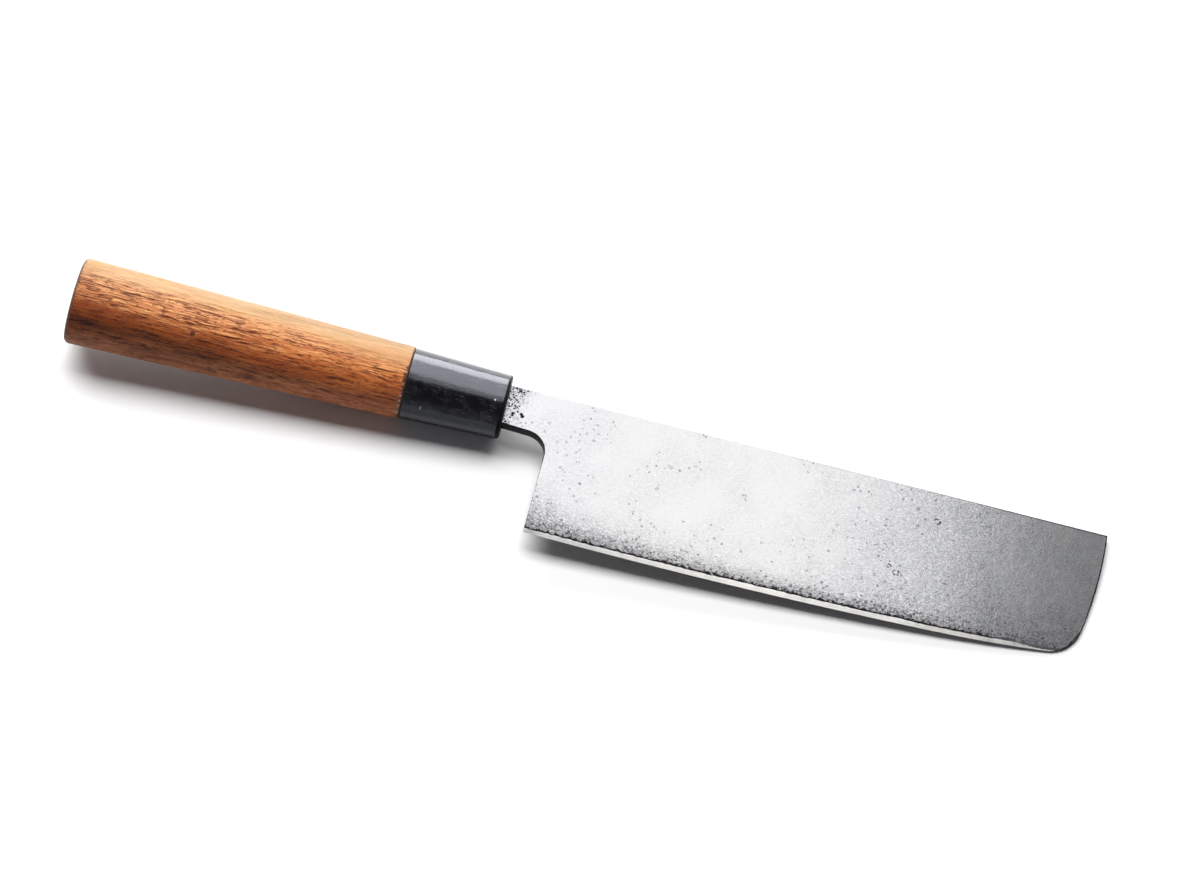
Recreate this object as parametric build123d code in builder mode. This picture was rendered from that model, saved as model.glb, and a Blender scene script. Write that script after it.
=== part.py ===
from build123d import *
import math
import os

# Nakiri knife lying on its side, as on a table. Millimetres.
# Shared frame: +X from butt to tip, the edge towards -Y, +Z up from the table,
# origin under the middle of the bounding box.
# Knife frame: x along the handle's axis from the ferrule's front face towards
# the tip, y from the edge towards the spine, z across the blade, with the
# middle of the blade's thickness at z = 0.

# Blade outline
blade_length = 179.75
spine_height = 6.45
front_bulge = 0.17
front_bulge_drop = 12.0
front_corner_radius = 10.5
corner_x = 176.0
heel_top_x = 14.4
heel_bottom_x = 13.8
choil_radius = 6.5
neck_height = 12.6
neck_drop = 0.7

# Edge curve: a long shallow belly, then a tighter one towards the tip
edge_depth = 38.45
edge_lowest_x = 58.4
belly_radius = 1900.0
belly_end_x = 137.4
tip_belly_radius = 388.0

# Blade thickness: flat tapering faces, a convex grind and the bright edge strip
neck_thickness = 4.2
spine_tip_thickness = 2.4
face_slope = 0.02
edge_land = 0.08
strip_width = 1.5
strip_thickness = 0.7
core_thickness = 0.64
grind_height = 14.0
grind_thickness = 2.8
grind_bulge = 0.17

# Tang, inside the handle
tang_length = 92.0
tang_root_height = 9.0
tang_end_height = 5.0
tang_root_thickness = 3.2
tang_end_thickness = 2.2

# Handle: ferrule and grip, both oval
ferrule_length = 29.6
grip_length = 100.4
front_height = 19.6
front_width = 17.8
seam_height = 21.6
seam_width = 19.7
grip_step = 0.2
butt_height = 26.8
butt_width = 21.4
front_rim_radius = 1.0
butt_rim_radius = 1.6
grip_rim_radius = 0.8
ferrule_rim_ease = 0.2

# Dowel and its bores
dowel_diameter = 13.0
dowel_length = 46.0
dowel_clearance = 0.05
dowel_end_gap = 1.0
ferrule_front_wall = 5.0

# Bedding around the tang
bedding_thickness = 0.35
bedding_end = 3.0

# One overrun for every cut that has to pass a face
overrun = 12.0

# Sizes worked out from those above
half_neck = neck_thickness / 2
half_strip = strip_thickness / 2
half_grind = grind_thickness / 2
half_core = core_thickness / 2
half_land = edge_land / 2
taper_slope = (neck_thickness - spine_tip_thickness) / 2 / blade_length
strip_slope = (half_strip - half_land) / strip_width
neck_bottom = spine_height - neck_height
handle_length = ferrule_length + grip_length
slot_length = tang_length + bedding_end
bore_radius = dowel_diameter / 2 + dowel_clearance
rim_share = front_rim_radius / ferrule_length
grip_bore_depth = dowel_length - (ferrule_length - ferrule_front_wall) + dowel_end_gap
belly_center = Vector(edge_lowest_x, belly_radius - edge_depth)


def lower_arc_y(center, radius, x):
    """Height of the lower side of a circle at x."""
    return center.Y - math.sqrt(radius**2 - (x - center.X) ** 2)


belly_end = Vector(belly_end_x, lower_arc_y(belly_center, belly_radius, belly_end_x))
tip_belly_center = belly_end + (belly_center - belly_end) * (tip_belly_radius / belly_radius)
tip_belly_middle_x = (belly_end_x + corner_x) / 2
tip_belly_middle = Vector(
    tip_belly_middle_x, lower_arc_y(tip_belly_center, tip_belly_radius, tip_belly_middle_x)
)
front_corner = Vector(corner_x, lower_arc_y(tip_belly_center, tip_belly_radius, corner_x))
front_top = Vector(blade_length, spine_height)
front_middle = Vector(blade_length + front_bulge, spine_height - front_bulge_drop)
heel = Vector(heel_bottom_x, lower_arc_y(belly_center, belly_radius, heel_bottom_x))
heel_top = Vector(heel_top_x, neck_bottom - neck_drop)
belly_lowest = Vector(edge_lowest_x, -edge_depth)
neck_corner = Vector(0, neck_bottom)
spine_start = Vector(0, spine_height)


def half_thickness(point):
    """Half the blade's thickness between its flat faces, at a point of the outline."""
    return half_neck - taper_slope * point.X - face_slope * (spine_height - point.Y)


# Rest pose: the knife lies on the ferrule's front rim and on the lower arris of
# the blade's square end, so the butt stands off the table.
front_contact = Vector(front_middle.X, front_middle.Y, -half_thickness(front_middle))
arris = Vector(0, 1, -face_slope)


def rim_contact(normal):
    """Lowest point of the ferrule's front rim over a floor with this normal."""
    half_height = (front_height + (seam_height - front_height) * rim_share) / 2
    half_width = (front_width + (seam_width - front_width) * rim_share) / 2
    reach = math.hypot(half_height * normal.Y, half_width * normal.Z)
    return Vector(
        -front_rim_radius,
        -(half_height**2) * normal.Y / reach,
        -(half_width**2) * normal.Z / reach,
    )


rest_rounds = 6
up = Vector(0, 0, 1)
for _ in range(rest_rounds):
    rim = rim_contact(up)
    up = (front_contact - rim).cross(arris).normalized()
forward = (Vector(1, 0, 0) - up * up.X).normalized()
across = up.cross(forward)

butt_corner = Vector(-handle_length, butt_height / 2, 0)
middle = Vector(
    (butt_corner.dot(forward) + front_middle.dot(forward)) / 2,
    (butt_corner.dot(across) + belly_lowest.dot(across)) / 2,
    rim.dot(up),
)
knife = Plane(
    origin=middle * -1,
    x_dir=(forward.X, across.X, up.X),
    z_dir=(forward.Z, across.Z, up.Z),
)


def place(x, y, z):
    """A point of the knife frame in the shared frame."""
    return knife.from_local_coords(Vector(x, y, z))


def cross_section(x):
    """Plane across the knife at x: its x runs to the spine and its y across the blade."""
    return Plane(origin=place(x, 0, 0), x_dir=knife.y_dir, z_dir=knife.x_dir)


def face_plane(side):
    """Flat face of the blade on the upper (1) or lower (-1) side, facing outwards."""
    outwards = knife.x_dir * taper_slope - knife.y_dir * face_slope + knife.z_dir * side
    return Plane(origin=place(0, spine_height, side * half_neck), z_dir=outwards)


os.makedirs("parts", exist_ok=True)


# Edge grind: what the whetstones took off, a groove along the edge. Its section
# runs inwards from the edge and is turned about the centres of the two bellies.
inwards = (belly_center - belly_end).normalized()
grind_plane = Plane(
    origin=place(belly_end.X, belly_end.Y, 0),
    x_dir=knife.x_dir * inwards.X + knife.y_dir * inwards.Y,
    z_dir=knife.x_dir * inwards.Y - knife.y_dir * inwards.X,
)
belly_turn = math.degrees((belly_end_x - heel_bottom_x + overrun) / belly_radius)
tip_belly_turn = math.degrees((blade_length - belly_end_x + overrun) / tip_belly_radius)
edge_apex = -half_land / strip_slope

with BuildSketch(grind_plane) as grind_section:
    with BuildLine():
        Line((edge_apex, 0), (strip_width, half_strip))
        SagittaArc((strip_width, half_strip), (grind_height, half_grind), grind_bulge)
        Line((grind_height, half_grind), (grind_height, neck_thickness))
        Line((grind_height, neck_thickness), (-overrun, neck_thickness))
        Line((-overrun, neck_thickness), (-overrun, -neck_thickness))
        Line((-overrun, -neck_thickness), (grind_height, -neck_thickness))
        Line((grind_height, -neck_thickness), (grind_height, -half_grind))
        SagittaArc((grind_height, -half_grind), (strip_width, -half_strip), grind_bulge)
        Line((strip_width, -half_strip), (edge_apex, 0))
    make_face()

with BuildPart() as grind:
    for center, turn in ((belly_center, -belly_turn), (tip_belly_center, tip_belly_turn)):
        revolve(
            grind_section.sketch,
            axis=Axis(place(center.X, center.Y, 0), knife.z_dir),
            revolution_arc=turn,
        )

# Tang: a bar on the handle's axis that tapers towards the butt
with BuildPart() as tang:
    with BuildSketch(cross_section(0)):
        Rectangle(tang_root_height, tang_root_thickness)
    with BuildSketch(cross_section(-tang_length)):
        Rectangle(tang_end_height, tang_end_thickness)
    loft()

# Slot that the tang is bedded in, through ferrule and dowel and into the grip
with BuildPart() as tang_slot:
    with BuildSketch(cross_section(0)):
        Rectangle(tang_root_height + 2 * bedding_thickness, tang_root_thickness + 2 * bedding_thickness)
    with BuildSketch(cross_section(-slot_length)):
        Rectangle(tang_end_height + 2 * bedding_thickness, tang_end_thickness + 2 * bedding_thickness)
    loft()

# Blank of the blade and tang: the outline, thinned by two flat tapering faces
# and by the grind, before it is told apart into its layers
with BuildPart() as blank:
    with BuildSketch(knife) as outline:
        with BuildLine():
            Line(neck_corner, spine_start)
            Line(spine_start, front_top)
            ThreePointArc(front_top, front_middle, front_corner)
            ThreePointArc(front_corner, tip_belly_middle, belly_end)
            ThreePointArc(belly_end, belly_lowest, heel)
            Line(heel, heel_top)
            Line(heel_top, neck_corner)
        make_face()
        fillet(outline.vertices().sort_by_distance(front_corner)[0], front_corner_radius)
        fillet(outline.vertices().sort_by_distance(heel_top)[0], choil_radius)
    extrude(amount=neck_thickness, both=True)
    for side in (1, -1):
        split(bisect_by=face_plane(side), keep=Keep.BOTTOM)
    add(grind.part, mode=Mode.SUBTRACT)
    add(tang.part)

# Core steel: the middle layer, which comes out as the bright strip at the edge
with BuildPart() as core_steel:
    add(blank.part)
    split(bisect_by=knife.offset(half_core), keep=Keep.BOTTOM)
    split(bisect_by=knife.offset(-half_core), keep=Keep.TOP)

# Cladding: the outer layer of each side
with BuildPart() as cladding_upper:
    add(blank.part)
    split(bisect_by=knife.offset(half_core), keep=Keep.TOP)

with BuildPart() as cladding_lower:
    add(blank.part)
    split(bisect_by=knife.offset(-half_core), keep=Keep.BOTTOM)

# Ferrule: an oval collar with a closed front, bored from behind for the dowel
with BuildPart() as ferrule:
    with BuildSketch(cross_section(0)):
        Ellipse(front_height / 2, front_width / 2)
    with BuildSketch(cross_section(-ferrule_length)):
        Ellipse(seam_height / 2, seam_width / 2)
    loft(ruled=True)
    rims = ferrule.edges().sort_by(Axis(knife.origin, knife.x_dir))
    fillet(rims[-1], front_rim_radius)
    rims = ferrule.edges().sort_by(Axis(knife.origin, knife.x_dir))
    fillet(rims[0], ferrule_rim_ease)
    with BuildSketch(cross_section(-ferrule_length)):
        Circle(bore_radius)
    extrude(amount=ferrule_length - ferrule_front_wall, mode=Mode.SUBTRACT)
    add(tang_slot.part, mode=Mode.SUBTRACT)

# Grip: an oval wooden bar, thickest at the butt, with both rims rounded
with BuildPart() as grip:
    with BuildSketch(cross_section(-ferrule_length)):
        Ellipse(seam_height / 2 + grip_step, seam_width / 2 + grip_step)
    with BuildSketch(cross_section(-handle_length)):
        Ellipse(butt_height / 2, butt_width / 2)
    loft(ruled=True)
    rims = grip.edges().sort_by(Axis(knife.origin, knife.x_dir))
    fillet(rims[-1], grip_rim_radius)
    rims = grip.edges().sort_by(Axis(knife.origin, knife.x_dir))
    fillet(rims[0], butt_rim_radius)
    with BuildSketch(cross_section(-ferrule_length)):
        Circle(bore_radius)
    extrude(amount=-grip_bore_depth, mode=Mode.SUBTRACT)
    add(tang_slot.part, mode=Mode.SUBTRACT)

# Dowel: joins ferrule and grip, and the slot through it takes the tang
with BuildPart() as dowel:
    with BuildSketch(cross_section(-ferrule_front_wall)):
        Circle(dowel_diameter / 2)
    extrude(amount=-dowel_length)
    add(tang_slot.part, mode=Mode.SUBTRACT)

# Bedding: the resin that fills the slot around the tang
with BuildPart() as tang_bedding:
    add(tang_slot.part)
    add(tang.part, mode=Mode.SUBTRACT)

pieces = {
    "core_steel": core_steel,
    "cladding_upper": cladding_upper,
    "cladding_lower": cladding_lower,
    "ferrule": ferrule,
    "grip": grip,
    "dowel": dowel,
    "tang_bedding": tang_bedding,
}
for name, piece in pieces.items():
    piece.part.label = name
    export_step(piece.part, f"parts/{name}.step")
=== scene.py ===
"""A nakiri knife lying on a pale studio table.

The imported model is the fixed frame. The three layers of the blade, the ferrule and the grip are replaced by
finer surfaces, worked out with numpy in the knife's own frame and then laid down in the shared one. The dowel
and the bedding of the tang stay as packed and get their finishes. Sizes are in millimetres, meshes in metres.
"""

import logging
import math
from collections.abc import Callable
from dataclasses import dataclass, field
from enum import Enum
from typing import TypeAlias

import bpy
import numpy as np
from mathutils import Matrix, Vector


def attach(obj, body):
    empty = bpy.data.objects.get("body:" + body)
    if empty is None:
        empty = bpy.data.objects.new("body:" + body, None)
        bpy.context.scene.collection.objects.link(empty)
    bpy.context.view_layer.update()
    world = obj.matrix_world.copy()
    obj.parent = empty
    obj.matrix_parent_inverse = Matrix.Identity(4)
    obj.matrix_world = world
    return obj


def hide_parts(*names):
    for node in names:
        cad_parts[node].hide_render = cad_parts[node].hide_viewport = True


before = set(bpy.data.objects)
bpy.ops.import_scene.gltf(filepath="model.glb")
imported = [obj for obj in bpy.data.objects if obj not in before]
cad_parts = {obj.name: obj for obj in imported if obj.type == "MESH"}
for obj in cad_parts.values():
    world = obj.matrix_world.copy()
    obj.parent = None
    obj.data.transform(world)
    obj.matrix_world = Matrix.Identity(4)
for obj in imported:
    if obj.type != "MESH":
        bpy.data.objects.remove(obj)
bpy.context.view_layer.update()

MM = 0.001
BODY = "root"
log = logging.getLogger("nakiri_knife")


class Side(Enum):
    """The side of the blade that a piece of cladding covers: the sign of its z."""

    UPPER = 1
    LOWER = -1


class Ends(Enum):
    """How a stack of rings is finished: closed to a point at both ends, or joined end to end."""

    POLES = "poles"
    LOOP = "loop"


@dataclass(frozen=True)
class KnifeSizes:
    """Driving sizes of the knife, in millimetres, in its own frame.

    x runs along the handle's axis from the ferrule's front face to the tip, y from the edge to the spine, and
    z across the blade, with the middle of its thickness at z = 0.
    """

    blade_length: float = 179.75
    spine_height: float = 6.45
    front_bulge: float = 0.17
    front_bulge_drop: float = 12.0
    front_corner_radius: float = 10.5
    front_top_radius: float = 0.5
    corner_x: float = 176.0
    heel_top_x: float = 14.4
    heel_bottom_x: float = 13.8
    choil_radius: float = 6.5
    neck_height: float = 12.6
    neck_drop: float = 0.7
    edge_depth: float = 38.45
    edge_lowest_x: float = 58.4
    belly_radius: float = 1900.0
    belly_end_x: float = 137.4
    tip_belly_radius: float = 388.0
    neck_thickness: float = 4.2
    spine_tip_thickness: float = 2.4
    face_slope: float = 0.02
    edge_land: float = 0.08
    strip_width: float = 1.5
    strip_thickness: float = 0.7
    core_thickness: float = 0.64
    grind_height: float = 14.0
    grind_thickness: float = 2.8
    grind_bulge: float = 0.17
    tang_length: float = 92.0
    tang_root_height: float = 9.0
    tang_end_height: float = 5.0
    tang_root_thickness: float = 3.2
    tang_end_thickness: float = 2.2
    ferrule_length: float = 29.6
    grip_length: float = 100.4
    front_height: float = 19.6
    front_width: float = 17.8
    seam_height: float = 21.6
    seam_width: float = 19.7
    grip_step: float = 0.2
    butt_height: float = 26.8
    butt_width: float = 21.4
    front_rim_radius: float = 1.0
    butt_rim_radius: float = 1.6
    grip_rim_radius: float = 0.8
    ferrule_rim_ease: float = 0.2
    dowel_diameter: float = 13.0
    dowel_length: float = 46.0
    dowel_clearance: float = 0.05
    dowel_end_gap: float = 1.0
    ferrule_front_wall: float = 5.0
    bedding_thickness: float = 0.35
    bedding_end: float = 3.0

    @property
    def taper_slope(self) -> float:
        """Half thickness that the blade loses per millimetre towards the tip."""
        return (self.neck_thickness - self.spine_tip_thickness) / 2 / self.blade_length

    @property
    def handle_length(self) -> float:
        """Length of ferrule and grip together."""
        return self.ferrule_length + self.grip_length


# Plane geometry

Amount: TypeAlias = np.ndarray | float


def blend(start: Amount, end: Amount, share: Amount) -> Amount:
    """From start to end in a straight line."""
    return start + (end - start) * share


def circle_through(a: np.ndarray, b: np.ndarray, c: np.ndarray) -> tuple[np.ndarray, float]:
    """Finds the circle through three points, from |p - centre|² being the same for all three.

    Args:
        a, b, c: the points, each (x, y).

    Returns:
        The centre and the radius.
    """
    rows = 2 * np.array([b - a, c - a])
    centre = np.linalg.solve(rows, [b @ b - a @ a, c @ c - a @ a])
    return centre, float(np.linalg.norm(a - centre))


def circles_meet(
    a: np.ndarray, a_radius: float, b: np.ndarray, b_radius: float, near: np.ndarray
) -> np.ndarray:
    """Finds where circles cross: t = (d² + ra² - rb²) / 2d along their centres and √(ra² - t²) aside.

    Args:
        a, b: the centres.
        a_radius, b_radius: the radii.
        near: the crossing nearer to this point is taken.

    Returns:
        The crossing, (x, y).
    """
    gap = b - a
    distance = np.linalg.norm(gap)
    along = gap / distance
    t = (distance**2 + a_radius**2 - b_radius**2) / (2 * distance)
    aside = np.array([-along[1], along[0]]) * math.sqrt(a_radius**2 - t**2)
    return min((a + along * t + aside, a + along * t - aside), key=lambda p: np.linalg.norm(p - near))


def line_points(start: np.ndarray, end: np.ndarray, count: int = 60) -> np.ndarray:
    """Points along a straight line, both ends included."""
    return blend(start, end, np.linspace(0, 1, count)[:, None])


def arc_points(centre: np.ndarray, start: np.ndarray, end: np.ndarray, count: int = 120) -> np.ndarray:
    """Points along the shorter arc from start to end, centre + r (cos a, sin a)."""
    first, last = (math.atan2(*(p - centre)[::-1]) for p in (start, end))
    turn = (last - first + math.pi) % (2 * math.pi) - math.pi
    angles = first + turn * np.linspace(0, 1, count)
    radius = np.linalg.norm(start - centre)
    return centre + radius * np.stack([np.cos(angles), np.sin(angles)], axis=1)


def joined(*stretches: np.ndarray) -> np.ndarray:
    """Stretches of a path put end to end, each without the first point of the next."""
    return np.concatenate([stretches[0], *(s[1:] for s in stretches[1:])])


def distance_to_path(points: np.ndarray, path: np.ndarray) -> np.ndarray:
    """Distance of each point to a broken line: the least of |p - a - t (b - a)|, t held between 0 and 1.

    Args:
        points: (n, 2).
        path: (m, 2), the line's points.

    Returns:
        (n,) distances.
    """
    nearest = np.full(len(points), np.inf)
    for start, end in zip(path[:-1], path[1:]):
        step = end - start
        t = np.clip((points - start) @ step / max(step @ step, 1e-12), 0, 1)
        nearest = np.minimum(nearest, np.linalg.norm(points - start - t[:, None] * step, axis=1))
    return nearest


class Path:
    """A plane curve given by close points, read by length along it."""

    def __init__(self, points: np.ndarray) -> None:
        """Args: points, (n, 2), in order along the curve."""
        self.points = points
        self.lengths = np.concatenate([[0], np.cumsum(np.linalg.norm(np.diff(points, axis=0), axis=1))])

    @property
    def length(self) -> float:
        """Whole length of the curve."""
        return float(self.lengths[-1])

    def at(self, lengths: np.ndarray) -> np.ndarray:
        """Points at those lengths along the curve, with the shape of lengths and (x, y) last."""
        return np.stack([np.interp(lengths, self.lengths, self.points[:, i]) for i in (0, 1)], axis=-1)


class Lattice:
    """A smooth random field: random values on unit squares, eased between them by 3t² - 2t³."""

    START = 50

    def __init__(self, seed: int, count: int = 256) -> None:
        """Args: seed, of the random numbers; count, squares after which the field repeats."""
        self.values = np.random.default_rng(seed).random((count, count))

    def at(self, x: np.ndarray, y: np.ndarray) -> np.ndarray:
        """Values from 0 to 1 at x, y, given in squares."""
        count = len(self.values)
        column, row = np.floor(x).astype(int), np.floor(y).astype(int)
        tx, ty = x - column, y - row
        tx, ty = tx * tx * (3 - 2 * tx), ty * ty * (3 - 2 * ty)
        near, far = column % count, (column + 1) % count
        low, high = row % count, (row + 1) % count
        v = self.values
        below = v[near, low] * (1 - tx) + v[far, low] * tx
        above = v[near, high] * (1 - tx) + v[far, high] * tx
        return below * (1 - ty) + above * ty


# Where the knife lies


class RestPose:
    """The knife's own frame in the shared one, from what it rests on.

    It lies on the ferrule's front rim and on the lower arris of the blade's square end, so the butt is off
    the table. The origin is under the middle of the whole knife.
    """

    ROUNDS = 6

    def __init__(self, sizes: KnifeSizes) -> None:
        """Args: sizes, the knife's sizes."""
        s = sizes
        drop = s.front_bulge_drop
        end = np.array([s.blade_length + s.front_bulge, s.spine_height - drop, 0.0])
        end[2] = -(s.neck_thickness / 2 - s.taper_slope * end[0] - s.face_slope * drop)
        arris = np.array([0.0, 1.0, -s.face_slope])
        up = np.array([0.0, 0.0, 1.0])
        for _ in range(self.ROUNDS):
            rim = self.rim_contact(s, up)
            up = np.cross(end - rim, arris)
            up /= np.linalg.norm(up)
        forward = np.array([1.0, 0.0, 0.0]) - up * up[0]
        forward /= np.linalg.norm(forward)
        self.turn = np.array([forward, np.cross(up, forward), up])
        butt = np.array([-s.handle_length, s.butt_height / 2, 0.0])
        lowest = np.array([s.edge_lowest_x, -s.edge_depth, 0.0])
        middle = (self.turn @ butt + self.turn @ np.array([end[0], end[1], 0.0])) / 2
        across = (self.turn @ butt + self.turn @ lowest) / 2
        self.shift = -np.array([middle[0], across[1], (self.turn @ rim)[2]])

    @staticmethod
    def rim_contact(s: KnifeSizes, up: np.ndarray) -> np.ndarray:
        """Lowest point of the ferrule's front rim over a table whose normal is up."""
        share = s.front_rim_radius / s.ferrule_length
        high = blend(s.front_height, s.seam_height, share) / 2
        wide = blend(s.front_width, s.seam_width, share) / 2
        reach = math.hypot(high * up[1], wide * up[2])
        return np.array([-s.front_rim_radius, -(high**2) * up[1] / reach, -(wide**2) * up[2] / reach])

    def to_shared(self, points: np.ndarray) -> np.ndarray:
        """Points of the knife's frame in mm, (n, 3), as points of the shared frame in metres."""
        return (points @ self.turn.T + self.shift) * MM

    def matrix(self) -> Matrix:
        """The turn from the knife's frame to the shared one."""
        return Matrix(self.turn.tolist())


# Skins


@dataclass
class Skin:
    """A closed skin: points in the knife's frame, faces by number of corners, and values at the points."""

    points: np.ndarray
    faces: list[np.ndarray]
    values: dict[str, np.ndarray] = field(default_factory=dict)

    def volume(self) -> float:
        """Volume inside, positive with faces outwards: the sum of a · (b × c) / 6 over fans of triangles."""
        total = 0.0
        for group in self.faces:
            first = self.points[group[:, 0]]
            for i in range(1, group.shape[1] - 1):
                b, c = self.points[group[:, i]], self.points[group[:, i + 1]]
                total += float(np.einsum("ij,ij->", first, np.cross(b, c))) / 6
        return total

    def outwards(self) -> "Skin":
        """The same skin with its faces pointing outwards."""
        if self.volume() < 0:
            self.faces = [group[:, ::-1] for group in self.faces]
        return self

    def with_skin(self, other: "Skin") -> "Skin":
        """Both skins as one; values that the other one lacks are 0 there."""
        count = len(self.points)
        values = {
            name: np.concatenate([v, other.values.get(name, np.zeros(len(other.points)))])
            for name, v in self.values.items()
        }
        faces = self.faces + [group + count for group in other.faces]
        return Skin(np.concatenate([self.points, other.points]), faces, values)


def grid_faces(rows: int, columns: int, start: int = 0) -> np.ndarray:
    """Quads of a grid whose points are numbered row by row from start."""
    i, j = np.meshgrid(np.arange(rows - 1), np.arange(columns - 1), indexing="ij")
    corner = (start + i * columns + j).ravel()
    return np.stack([corner, corner + 1, corner + columns + 1, corner + columns], axis=1)


def border(rows: int, columns: int) -> np.ndarray:
    """Numbers of a grid's outer points, once round: first row, last column, last row and first column."""
    number = np.arange(rows * columns).reshape(rows, columns)
    return np.concatenate([number[0], number[1:, -1], number[-1, -2::-1], number[-2:0:-1, 0]])


def walls(first: np.ndarray, second: np.ndarray) -> np.ndarray:
    """Quads between two rings of as many points, given by their numbers."""
    return np.stack([first, second, np.roll(second, -1), np.roll(first, -1)], axis=1)


def plate(upper: np.ndarray, lower: np.ndarray) -> Skin:
    """A plate between two grids over the same outline, closed round the rim.

    Args:
        upper, lower: (rows, columns, 3).

    Returns:
        The skin.
    """
    rows, columns = upper.shape[:2]
    count = rows * columns
    ring = border(rows, columns)
    faces = [grid_faces(rows, columns), grid_faces(rows, columns, count)[:, ::-1], walls(ring, ring + count)]
    return Skin(np.concatenate([upper.reshape(-1, 3), lower.reshape(-1, 3)]), faces).outwards()


def flat_backed(outer: np.ndarray, back_z: float) -> Skin:
    """A shaped grid on a flat back at z = back_z, which is a strip of quads with one face at each end.

    Args:
        outer: (rows, columns, 3).
        back_z: height of the back.

    Returns:
        The skin, whose first rows * columns points are those of the grid.
    """
    rows, columns = outer.shape[:2]
    count = rows * columns
    points = outer.reshape(-1, 3)
    ring = border(rows, columns)
    back = points[ring].copy()
    back[:, 2] = back_z
    number = count + np.arange(len(ring))
    low = number[:columns]
    right = number[columns - 1 : columns + rows - 1]
    high = number[columns + rows - 2 : 2 * columns + rows - 2][::-1]
    left = np.concatenate([number[2 * columns + rows - 3 :], number[:1]])
    strip = np.stack([low[1:-2], high[1:-2], high[2:-1], low[2:-1]], axis=1)
    first = np.concatenate([left[::-1], high[1:2], low[1:2]])[None, ::-1]
    last = np.concatenate([right, high[-2:-1], low[-2:-1]])[None, ::-1]
    faces = [grid_faces(rows, columns), walls(ring, number), strip, first, last]
    return Skin(np.concatenate([points, back]), faces)


def bar(sections: np.ndarray) -> Skin:
    """A bar through upright sections, closed at both ends.

    Args:
        sections: (n, 5): x, lowest and highest y, lowest and highest z of each section.

    Returns:
        The skin.
    """
    x, y0, y1, z0, z1 = sections.T
    corners = ((y0, z0), (y1, z0), (y1, z1), (y0, z1))
    rings = np.stack([np.stack([x, y, z], axis=1) for y, z in corners], axis=1)
    number = np.arange(len(sections) * 4).reshape(-1, 4)
    sides = [walls(number[i], number[i + 1]) for i in range(len(sections) - 1)]
    faces = [*sides, number[:1], number[-1:, ::-1]]
    return Skin(rings.reshape(-1, 3), faces).outwards()


@dataclass(frozen=True)
class Ring:
    """One ring of a stack, across the handle's axis: an oval, or a rectangle where squareness is high."""

    x: float
    half_height: float
    half_width: float
    squareness: float = 2.0


def ring_stack(rings: list[Ring], count: int, ends: Ends) -> Skin:
    """A skin over rings: y = h sgn(cos a) |cos a|^(2/n), z = w sgn(sin a) |sin a|^(2/n), n the squareness.

    Args:
        rings: in order along the skin.
        count: points in a ring.
        ends: how the stack is finished.

    Returns:
        The skin.
    """
    x, high, wide, square = np.array([[r.x, r.half_height, r.half_width, r.squareness] for r in rings]).T
    angle = np.arange(count) * 2 * np.pi / count
    power = 2 / square[:, None]
    y = high[:, None] * np.sign(np.cos(angle)) * np.abs(np.cos(angle)) ** power
    z = wide[:, None] * np.sign(np.sin(angle)) * np.abs(np.sin(angle)) ** power
    points = np.stack([np.broadcast_to(x[:, None], y.shape), y, z], axis=2).reshape(-1, 3)
    number = np.arange(len(points)).reshape(len(rings), count)
    follow = np.roll(number, -1, axis=0) if ends is Ends.LOOP else number[1:]
    start = number if ends is Ends.LOOP else number[:-1]
    quads = np.stack([start, follow, np.roll(follow, -1, axis=1), np.roll(start, -1, axis=1)], axis=2)
    faces = [quads.reshape(-1, 4)]
    if ends is Ends.POLES:
        poles = np.array([[x[0], 0, 0], [x[-1], 0, 0]])
        first, last = len(points), len(points) + 1
        points = np.concatenate([points, poles])
        ones = np.ones(count, int)
        faces.append(np.stack([first * ones, number[0], np.roll(number[0], -1)], axis=1))
        faces.append(np.stack([last * ones, np.roll(number[-1], -1), number[-1]], axis=1))
    return Skin(points, faces).outwards()


def placed(name: str, data: bpy.types.ID) -> bpy.types.Object:
    """A new object in the scene."""
    made = bpy.data.objects.new(name, data)
    bpy.context.scene.collection.objects.link(made)
    return made


def make_piece(
    name: str, skin: Skin, pose: RestPose, material: bpy.types.Material, sharp: float = 32.0
) -> bpy.types.Object:
    """Makes the Blender object of a skin, lying in the shared frame with its object at the origin.

    Args:
        name: the piece's name.
        skin: its skin.
        pose: the pose that lays it down.
        material: its finish.
        sharp: edges that turn by more than this many degrees stay sharp.

    Returns:
        The object, linked to the scene.
    """
    mesh = bpy.data.meshes.new(name)
    corners = np.concatenate([group.ravel() for group in skin.faces]).astype(np.int32)
    sizes = np.concatenate([np.full(len(group), group.shape[1]) for group in skin.faces])
    mesh.vertices.add(len(skin.points))
    mesh.vertices.foreach_set("co", pose.to_shared(skin.points).astype(np.float32).ravel())
    mesh.loops.add(len(corners))
    mesh.loops.foreach_set("vertex_index", corners)
    mesh.polygons.add(len(sizes))
    mesh.polygons.foreach_set("loop_start", (np.cumsum(sizes) - sizes).astype(np.int32))
    mesh.polygons.foreach_set("use_smooth", np.ones(len(sizes), bool))
    mesh.update(calc_edges=True)
    mesh.validate()
    mesh.set_sharp_from_angle(angle=math.radians(sharp))
    for key, values in skin.values.items():
        mesh.attributes.new(key, "FLOAT", "POINT").data.foreach_set("value", values.astype(np.float32))
    mesh.materials.append(material)
    return placed(name, mesh)


# Node trees

Number: TypeAlias = "Value | float"
Fed: TypeAlias = "Value | tuple | float"
ORIGIN = (0, 0, 0)


def operator(operation: str, turned: bool = False) -> Callable[..., "Value"]:
    """A method for Value that adds a Math node; turned puts the other side first."""

    def method(value: "Value", other: Number = 0.0) -> "Value":
        """The node's result."""
        return value.tree.math(operation, *((other, value) if turned else (value, other)))

    return method


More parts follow.
